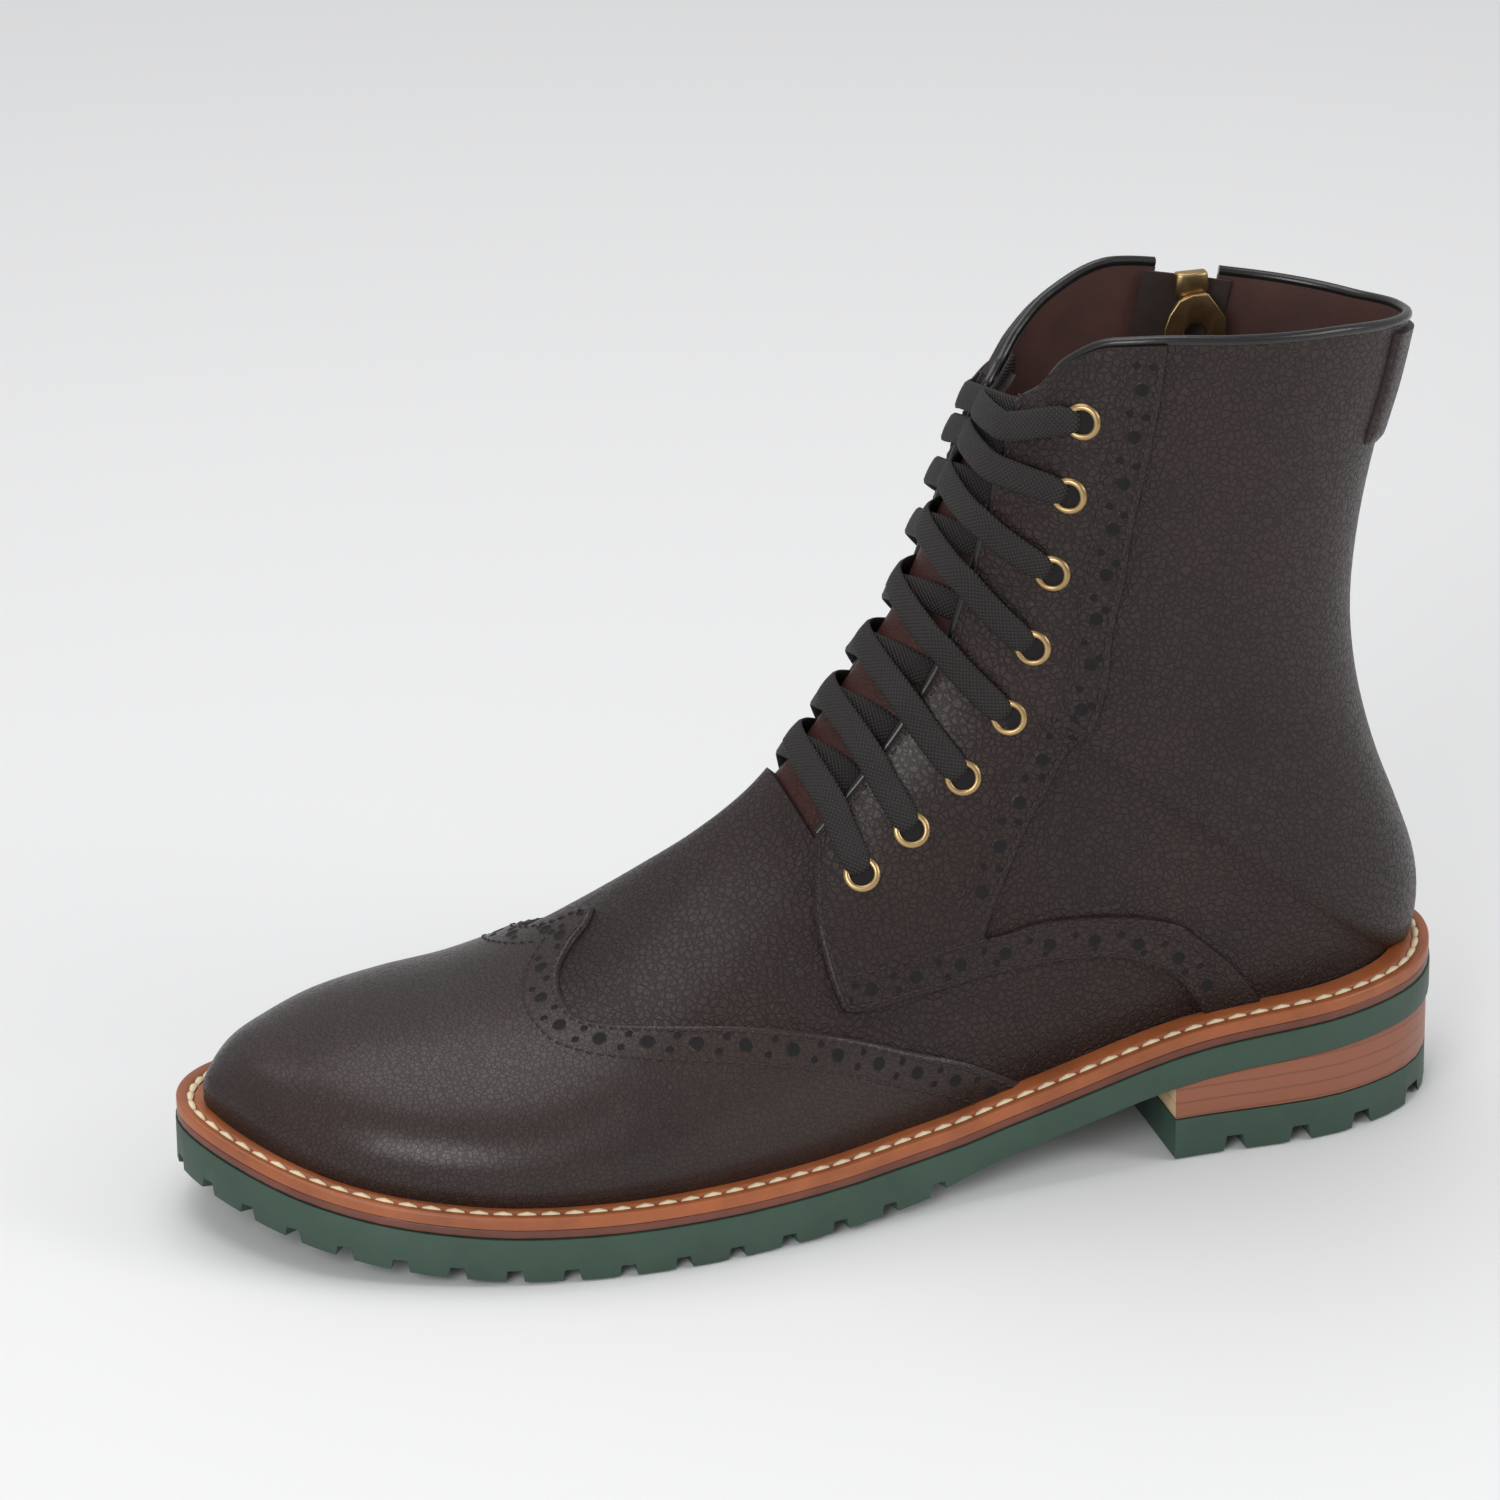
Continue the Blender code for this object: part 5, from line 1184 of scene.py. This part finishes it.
def inset_line(station, across, inset):
    """Line on the last moved sideways over the surface."""
    line = surface(station, across)
    out = outward(station, across)
    tangent = unit(np.gradient(line, axis=0))
    wanted = line + unit(np.cross(tangent, out)) * inset
    start = across
    step = 0.002
    for _ in range(3):
        here = surface(station, across)
        by_station = (surface(station + step, across) - here) / step
        by_across = (surface(station, across + step) - here) / step
        miss = wanted - here
        a = np.einsum("ij,ij->i", by_station, by_station)
        b = np.einsum("ij,ij->i", by_station, by_across)
        c = np.einsum("ij,ij->i", by_across, by_across)
        d = np.einsum("ij,ij->i", by_station, miss)
        e = np.einsum("ij,ij->i", by_across, miss)
        det = np.maximum(a * c - b * b, 1e-12)
        station = station + (d * c - e * b) / det
        across = across + (a * e - b * d) / det
    own = across * start > 0
    return station[own], across[own]


def wing_edge(side):
    """Edge of the wing cap on one side, from its peak to the rim."""
    girth = np.linspace(0.004, 0.965, 160)
    return monotone(girth, WING["girth"], WING["station"]), girth * side


def eyestay_edge(side, which, first=0.0, last=1.0):
    """Outer or inner edge of the eyestay between two shares of its way."""
    way = np.linspace(first, last, 240)
    outer_station, outer_girth, inner_station, inner_girth = eyestay_lines(side, way)
    if which == "outer":
        return outer_station, outer_girth * side
    return inner_station, inner_girth * side


def band_lines():
    """Brogued bands: their edge, the side the band lies on, and how wide it is."""
    lines = []
    for side in (1, -1):
        lines.append((wing_edge(side), side, 8.6 * MM))
        lines.append((eyestay_edge(side, "inner", 0.02, 0.62), side, 8.6 * MM))
        lines.append((eyestay_edge(side, "outer", 0.645, 0.985), -side, 8.6 * MM))
    return lines


class BOOT_OT_brogue(bpy.types.Operator):
    """Punched holes and seams of the brogued bands"""
    bl_idname = "boot.brogue"
    bl_label = "Brogue holes and stitches"

    def execute(self, context):
        sizes = context.scene.boot_sizes
        height = OVERLAY + GAP
        large = []
        small = []
        stitches = []
        for (station, across), turn, width in band_lines():
            for inset in (1.3 * MM, width - 0.4 * MM):
                line = inset_line(station, across, turn * inset)
                stitches.append(frames_along(*line, sizes.stitch_pitch, height))
            middle = inset_line(station, across, turn * width / 2)
            large.append(frames_along(*middle, sizes.hole_pitch, height, 0.5))
            for inset in (width / 2 - 1.7 * MM, width / 2 + 1.7 * MM):
                line = inset_line(station, across, turn * inset)
                small.append(frames_along(*line, sizes.hole_pitch, height, 0.0))
        for side in (1, -1):
            station, across = eyestay_edge(side, "outer", 0.0, 0.645)
            line = inset_line(station, across, -side * 1.6 * MM)
            stitches.append(frames_along(*line, sizes.stitch_pitch, height))
        # The holes' floors take the painted hole shade, their lips the leather
        pieces = (
            ("brogue_large", hole_shape(sizes.large_hole), join_frames(large), ("hole", "leather")),
            ("brogue_small", hole_shape(sizes.small_hole), join_frames(small), ("hole", "leather")),
            ("upper_stitches", stitch_shape(sizes.stitch_pitch * 0.82, sizes.stitch_radius), join_frames(stitches),
             ("thread",)),
        )
        for name, template, frames, finishes in pieces:
            obj = scatter(name, template, frames, [finish(entry) for entry in finishes])
            place(obj, "leather")
        return {"FINISHED"}


class BOOT_OT_tongue(bpy.types.Operator):
    """Tongue under the lace"""
    bl_idname = "boot.tongue"
    bl_label = "Tongue"

    def execute(self, context):
        stations = np.linspace(0.50, 0.985, 90)
        columns = {}
        for side in (1, -1):
            edge = throat_edge(np.maximum(stations, THROAT_START), side)[:, None]
            reach = 9 * MM / girth_length(stations, side)[:, None]
            columns[side] = (edge + reach) * np.linspace(0, 1, 22)[None, :]
        across = np.hstack([-columns[-1][:, ::-1], columns[1][:, 1:]])
        station = np.repeat(stations[:, None], across.shape[1], 1)
        top = -WALL - TONGUE_ROOM
        obj = shell("tongue_leather", station, across, None, top - TONGUE_THICKNESS, top + 0.3 * MM,
                    (finish("tongue"), finish("lining"), finish("edge")))
        place(obj, "tongue_leather", "tongue")
        return {"FINISHED"}


def eyelet_place(index, side):
    """Station and across value of an eyelet."""
    station = EYELET_STATIONS[index]
    edge = throat_edge(np.array([station]), side)[0]
    return station, (edge + eyelet_setback(station) / girth_length(station, side)[0]) * side


class BOOT_OT_eyelets(bpy.types.Operator):
    """Pressed brass eyelets down both facings"""
    bl_idname = "boot.eyelets"
    bl_label = "Eyelets"

    def execute(self, context):
        sides = 28
        profile = ((2.60, -0.30), (2.62, 0.35), (2.85, 0.72), (3.25, 0.86), (3.75, 0.74), (4.15, 0.36), (4.28, -0.20))
        points = [(math.cos(a) * r * MM, math.sin(a) * r * MM, z * MM) for r, z in profile
                  for a in np.arange(sides) * 2 * math.pi / sides]
        faces = [(i * sides + j, (i + 1) * sides + j, (i + 1) * sides + (j + 1) % sides, i * sides + (j + 1) % sides)
                 for i in range(len(profile) - 1) for j in range(sides)]
        indices = [0] * len(faces)
        # Flat disc across the ring's middle in the painted hole shade, standing in for the shadow inside the eyelet
        points += [(0, 0, 0.12 * MM)] + [(math.cos(a) * 2.7 * MM, math.sin(a) * 2.7 * MM, 0.12 * MM)
                                         for a in np.arange(sides) * 2 * math.pi / sides]
        base = len(profile) * sides
        faces += [(base, base + 1 + j, base + 1 + (j + 1) % sides) for j in range(sides)]
        indices += [1] * sides
        for side, word in ((1, "outer"), (-1, "inner")):
            for index in range(len(EYELET_STATIONS)):
                station, across = eyelet_place(index, side)
                spot = raised(np.array([station]), np.array([across]), np.array([OVERLAY + GAP]))
                out = outward(np.array([station]), np.array([across]))
                up = unit(surface(np.array([station + 0.01]), np.array([across])) - surface(
                    np.array([station]), np.array([across])))
                name = "eyelet_ring_" + word + "_" + str(index + 1)
                obj = scatter(name, (points, faces, indices), (spot, up, out), (finish("brass"), finish("hole")))
                place(obj, "brass", "eyelet_" + word + "_" + str(index + 1))
        return {"FINISHED"}


LACE_STEPS = (
    (0.00, -1.00, -0.6),
    (0.01, -0.93, 1.7),
    (0.05, -0.72, 2.9),
    (0.14, -0.30, 2.9),
    (0.24, 0.00, 3.2),
    (0.33, 0.14, 2.6),
    (0.50, 0.50, -0.7),
    (0.66, 0.84, -2.0),
    (0.76, 1.05, -2.7),
    (0.84, 1.20, -2.8),
)


def lace_path(index, side, lift):
    """Points and facing of one lace run, from an eyelet over the edge and under the other facing."""
    low = EYELET_STATIONS[index]
    high = EYELET_STATIONS[index - 1] if index else min(low + 0.03, 0.99)
    points = []
    normals = []
    for climb, cross, height in LACE_STEPS:
        station = low + (high - low) * climb
        own = side if cross <= 0.5 else -side
        edge = throat_edge(np.array([station]), own)[0]
        reach = eyelet_setback(station) / girth_length(station, own)[0]
        if cross < 0:
            girth = edge - cross * reach
        elif cross > 1:
            girth = edge + (cross - 1) * 6 * reach / 2
        else:
            girth = edge * abs(1 - 2 * cross)
        level = height * MM + lift * math.exp(-((cross - 0.45) / 0.25) ** 2)
        points.append(raised(np.array([station]), np.array([girth * own]), np.array([level]))[0])
        normals.append(outward(np.array([station]), np.array([girth * own]))[0])
    points = np.array(points)
    edge, end = points[4], points[7]
    across_line = (end - edge) / np.linalg.norm(end - edge)
    for k in (5, 6):
        share = (points[k] - edge) @ across_line
        flat = edge + across_line * share
        off = points[k] - flat
        face = unit(np.array(normals[k]))
        points[k] = flat + face * max(off @ face, 0.0)
    dense = smooth_path(points, 8)
    dense_normals = unit(smooth_path(np.array(normals), 8))
    return dense, dense_normals


class BOOT_OT_laces(bpy.types.Operator):
    """Flat lace through the eyelets"""
    bl_idname = "boot.laces"
    bl_label = "Laces"

    def execute(self, context):
        sizes = context.scene.boot_sizes
        for side, word in ((1, "outer"), (-1, "inner")):
            for index in range(len(EYELET_STATIONS)):
                points, normals = lace_path(index, side, 1.4 * MM if side > 0 else 0.0)
                share = np.linspace(0, 1, len(points))
                widths = sizes.lace_width * np.interp(share, [0, 0.08, 0.2, 1], [0.55, 0.7, 1.0, 1.0])
                obj = ribbon("lace_run_" + word + "_" + str(index + 1), points, normals, widths,
                             sizes.lace_thickness, (finish("lace"),))
                if index and side > 0:
                    place(obj, "lace", "lace_crossing_" + str(index))
                else:
                    place(obj, "lace")
        return {"FINISHED"}


def edge_step(station, across, kind):
    """Direction out of the wall's cut edge."""
    here = surface(station, across)
    if kind == "collar":
        return unit(here - surface(station - 0.02, across))
    return unit(surface(station, across - 0.02 * np.sign(across)) - here)


class BOOT_OT_piping(bpy.types.Operator):
    """Glossy binding along the facings and the collar"""
    bl_idname = "boot.piping"
    bl_label = "Binding"

    def execute(self, context):
        radius = context.scene.boot_sizes.piping / 2
        reach = radius * 0.55
        level = -WALL / 3
        lines = {}
        for side in (1, -1):
            stations = np.linspace(THROAT_START + 0.004, 0.992, 60)
            across = throat_edge(stations, side) * side
            facing = raised(stations, across, np.full(60, level)) + edge_step(stations, across, "facing") * reach
            first = throat_edge(np.array([1.0]), side)[0] + 0.03
            last = 1.0 if side > 0 else zip_edges(np.array([1.0]))[0][0]
            girths = np.linspace(first, last, 50) * side
            ones = np.ones(50)
            collar = raised(ones, girths, ones * level) + edge_step(ones, girths, "collar") * reach
            lines[side] = [facing, collar]
        behind = zip_edges(np.array([1.0]))[1][0]
        girths = -np.linspace(1.0, behind, 40)
        ones = np.ones(40)
        back = raised(ones, girths, ones * level) + edge_step(ones, girths, "collar") * reach
        outer = np.vstack([*lines[1], back[1:]])
        inner = np.vstack(lines[-1])
        for name, line, node in (("binding_outer", outer, "piping_outer"), ("binding_inner", inner, "piping_inner")):
            line = along(smooth_path(line, 3), np.linspace(0, 1, 260))
            place(cord_mesh(name, line, radius, (finish("piping"),)), "piping", node)
        return {"FINISHED"}


class BOOT_OT_sole(bpy.types.Operator):
    """Midsole, lugged sole, heel and insole"""
    bl_idname = "boot.sole"
    bl_label = "Sole and heel"

    def execute(self, context):
        for node, look, bevel in (("outsole", "rubber", 0.5 * MM), ("heel_top_piece", "rubber", 0.5 * MM),
                                  ("midsole", "midsole", 0.3 * MM), ("heel_stack", "stack", 0.3 * MM),
                                  ("insole", "lining", 0.4 * MM)):
            obj = carried(node, node + "_dressed", (finish(look),), bevel)
            place(obj, {"rubber": "rubber", "midsole": "midsole", "stack": "stack", "lining": "lining"}[look], node)
        return {"FINISHED"}


class BOOT_OT_welt(bpy.types.Operator):
    """Welt with its groove and its cream seam"""
    bl_idname = "boot.welt"
    bl_label = "Welt"

    def execute(self, context):
        sizes = context.scene.boot_sizes
        outer = outline_path(WELT_OVERHANG)
        inner = outline_path(WELT_WIDTH + 1.6 * MM)
        profile = ((0.0, 0.0), (0.0, 0.8), (0.02, 0.93), (0.06, 1.0), (0.24, 1.0), (0.28, 0.93), (0.32, 0.74),
                   (0.40, 0.70), (0.45, 0.74), (0.49, 0.93), (0.53, 1.0), (1.0, 1.04), (1.0, 0.0))
        count = len(profile)
        points = []
        for first, last in zip(outer, inner):
            for share, level in profile:
                spot = first + (last - first) * share
                z = float(seat_level(spot[0])) - 0.3 * MM + (WELT_THICKNESS + 0.3 * MM) * level
                points.append((spot[0] - ORIGIN[0], spot[1] - ORIGIN[1], z))
        total = len(points)
        faces = [(i * count + j, (i * count + (j + 1) % count), ((i + 1) * count + (j + 1) % count) % total,
                  ((i + 1) * count + j) % total) for i in range(len(outer)) for j in range(count)]
        place(close_mesh(new_mesh("welt_strip", points, faces, (finish("welt"),), smooth=50)), "welt", "welt")

        middle = outer + (inner - outer) * 0.36
        z = seat_level(middle[:, 0]) - 0.3 * MM + (WELT_THICKNESS + 0.3 * MM) * 0.78
        line = np.column_stack([middle - ORIGIN[:2], z])
        line = np.vstack([line, line[:1]])
        lengths = np.r_[0, np.cumsum(np.linalg.norm(np.diff(line, axis=0), axis=1))]
        at = (np.arange(sizes.welt_stitches) + 0.5) * lengths[-1] / sizes.welt_stitches
        spots = np.stack([np.interp(at, lengths, line[:, k]) for k in range(3)], -1)
        ahead = np.stack([np.interp(at + MM, lengths, line[:, k]) for k in range(3)], -1)
        frames = (spots, unit(ahead - spots), np.tile([0.0, 0.0, 1.0], (len(spots), 1)))
        obj = scatter("welt_stitches", stitch_shape(sizes.welt_stitch, 0.85 * MM), frames, (finish("welt_thread"),))
        place(obj, "welt")
        return {"FINISHED"}


class BOOT_OT_zip(bpy.types.Operator):
    """Side zip with its tape, teeth, guard, slider and pull"""
    bl_idname = "boot.zip"
    bl_label = "Side zip"

    def execute(self, context):
        for node, look, slot, bevel in (("zip_tape", "tape", "tape", 0.0), ("zip_guard", "tongue", "tongue_leather", 0.3 * MM),
                                        ("zip_slider", "brass", "brass", 0.5 * MM)):
            place(carried(node, node + "_dressed", (finish(look),), bevel), slot, node)
        pull = carried("zip_pull", "zip_pull_dressed", (finish("brass"),), 0.3 * MM, segments=3)
        place(pull, "brass", "zip_pull", body="zip_pull")
        stations = np.linspace(ZIP_START + 0.012, 0.984, 200)
        tooth = ((-0.45, -0.3, 0.0), (0.45, -0.3, 0.0), (0.45, 2.4, 0.0), (-0.45, 2.4, 0.0),
                 (-0.35, -0.2, 1.2), (0.35, -0.2, 1.2), (0.35, 2.2, 1.2), (-0.35, 2.2, 1.2))
        faces = ((0, 3, 2, 1), (4, 5, 6, 7), (0, 1, 5, 4), (1, 2, 6, 5), (2, 3, 7, 6), (3, 0, 4, 7))
        parts = []
        for turn, start in ((1, 0.25), (-1, 0.75)):
            frames = frames_along(stations, np.full(200, -ZIP_GIRTH), 1.7 * MM, -WALL - 0.5 * MM, start)
            points = [(x * MM, y * turn * MM, z * MM) for x, y, z in tooth]
            flipped = faces if turn > 0 else tuple(face[::-1] for face in faces)
            obj = scatter("zip_teeth_" + ("a" if turn > 0 else "b"), (points, flipped, [0] * 6), frames,
                          (finish("brass"),), 30)
            parts.append(obj)
        place(parts[0], "brass", "zip_teeth")
        place(parts[1], "brass")
        return {"FINISHED"}


class BOOT_OT_stage(bpy.types.Operator):
    """Pale floor, soft lights and the camera"""
    bl_idname = "boot.stage"
    bl_label = "Stage"

    def execute(self, context):
        size = 4.0
        bpy.ops.mesh.primitive_plane_add(size=size, location=(0, 0, -0.0005))
        floor = bpy.context.active_object
        floor.name = "floor"
        floor.select_set(False)
        material, tree, shader, coordinates = blank_material("pale_floor")
        shader.inputs["Base Color"].default_value = (0.80, 0.80, 0.80, 1)
        shader.inputs["Roughness"].default_value = 0.6
        floor.data.materials.append(material)
        world = bpy.data.worlds.new("soft_studio")
        world.use_nodes = True
        world.node_tree.nodes["Background"].inputs["Color"].default_value = (0.92, 0.93, 0.95, 1)
        world.node_tree.nodes["Background"].inputs["Strength"].default_value = 0.52
        context.scene.world = world
        target = Vector((0.01, 0.0, 0.07))
        for name, spot, energy, width in (("key_light", (0.85, 1.10, 0.75), 11.0, 0.7),
                                          ("top_light", (0.10, -0.35, 1.40), 9.0, 1.1),
                                          ("side_light", (-1.10, 0.55, 0.75), 5.0, 0.6)):
            light = bpy.data.lights.new(name, "AREA")
            light.energy = energy
            light.size = width
            obj = bpy.data.objects.new(name, light)
            context.scene.collection.objects.link(obj)
            obj.location = spot
            obj.rotation_euler = (target - Vector(spot)).to_track_quat("-Z", "Y").to_euler()
        azimuth, elevation, roll = math.radians(74.056), math.radians(24.293), math.radians(-0.541)
        away = Vector((math.cos(azimuth) * math.cos(elevation), math.sin(azimuth) * math.cos(elevation),
                       math.sin(elevation)))
        camera = bpy.data.cameras.new("camera")
        camera.sensor_width = 36
        camera.lens = 7561.68 / 1500 * 36
        camera.shift_x = (750 - 774.45) / 1500
        camera.shift_y = (857.75 - 750) / 1500
        camera.clip_end = 20
        obj = bpy.data.objects.new("camera", camera)
        context.scene.collection.objects.link(obj)
        aim = Vector((0.155, 0.0, 0.070)) - Vector(ORIGIN)
        turn = (-away).to_track_quat("-Z", "Y").to_matrix() @ Matrix.Rotation(roll, 3, "Z")
        obj.matrix_world = Matrix.Translation(aim + away * 1.68818) @ turn.to_4x4()
        context.scene.camera = obj
        context.scene.view_settings.view_transform = "Standard"
        return {"FINISHED"}


class BOOT_PT_panel(bpy.types.Panel):
    """Lists the boot's pieces and settings"""
    bl_label = "Wingtip boot"
    bl_space_type = "VIEW_3D"
    bl_region_type = "UI"
    bl_category = "Boot"

    def draw(self, context):
        layout = self.layout
        for operator in OPERATORS:
            layout.operator(operator.bl_idname)
        for settings in (context.scene.boot_sizes, context.scene.boot_colours):
            for name in settings.__annotations__:
                layout.prop(settings, name)


OPERATORS = (BOOT_OT_stage, BOOT_OT_sole, BOOT_OT_welt, BOOT_OT_upper, BOOT_OT_wing, BOOT_OT_eyestays,
             BOOT_OT_brogue, BOOT_OT_tongue, BOOT_OT_eyelets, BOOT_OT_laces, BOOT_OT_piping, BOOT_OT_zip)
CLASSES = (BootSizes, BootColours, *OPERATORS, BOOT_PT_panel)


def register():
    for entry in CLASSES:
        bpy.utils.register_class(entry)
    bpy.types.Scene.boot_sizes = PointerProperty(type=BootSizes)
    bpy.types.Scene.boot_colours = PointerProperty(type=BootColours)


def unregister():
    del bpy.types.Scene.boot_sizes
    del bpy.types.Scene.boot_colours
    for entry in reversed(CLASSES):
        bpy.utils.unregister_class(entry)


def main():
    register()
    for operator in OPERATORS:
        group, name = operator.bl_idname.split(".")
        getattr(getattr(bpy.ops, group), name)()


if __name__ == "__main__":
    main()
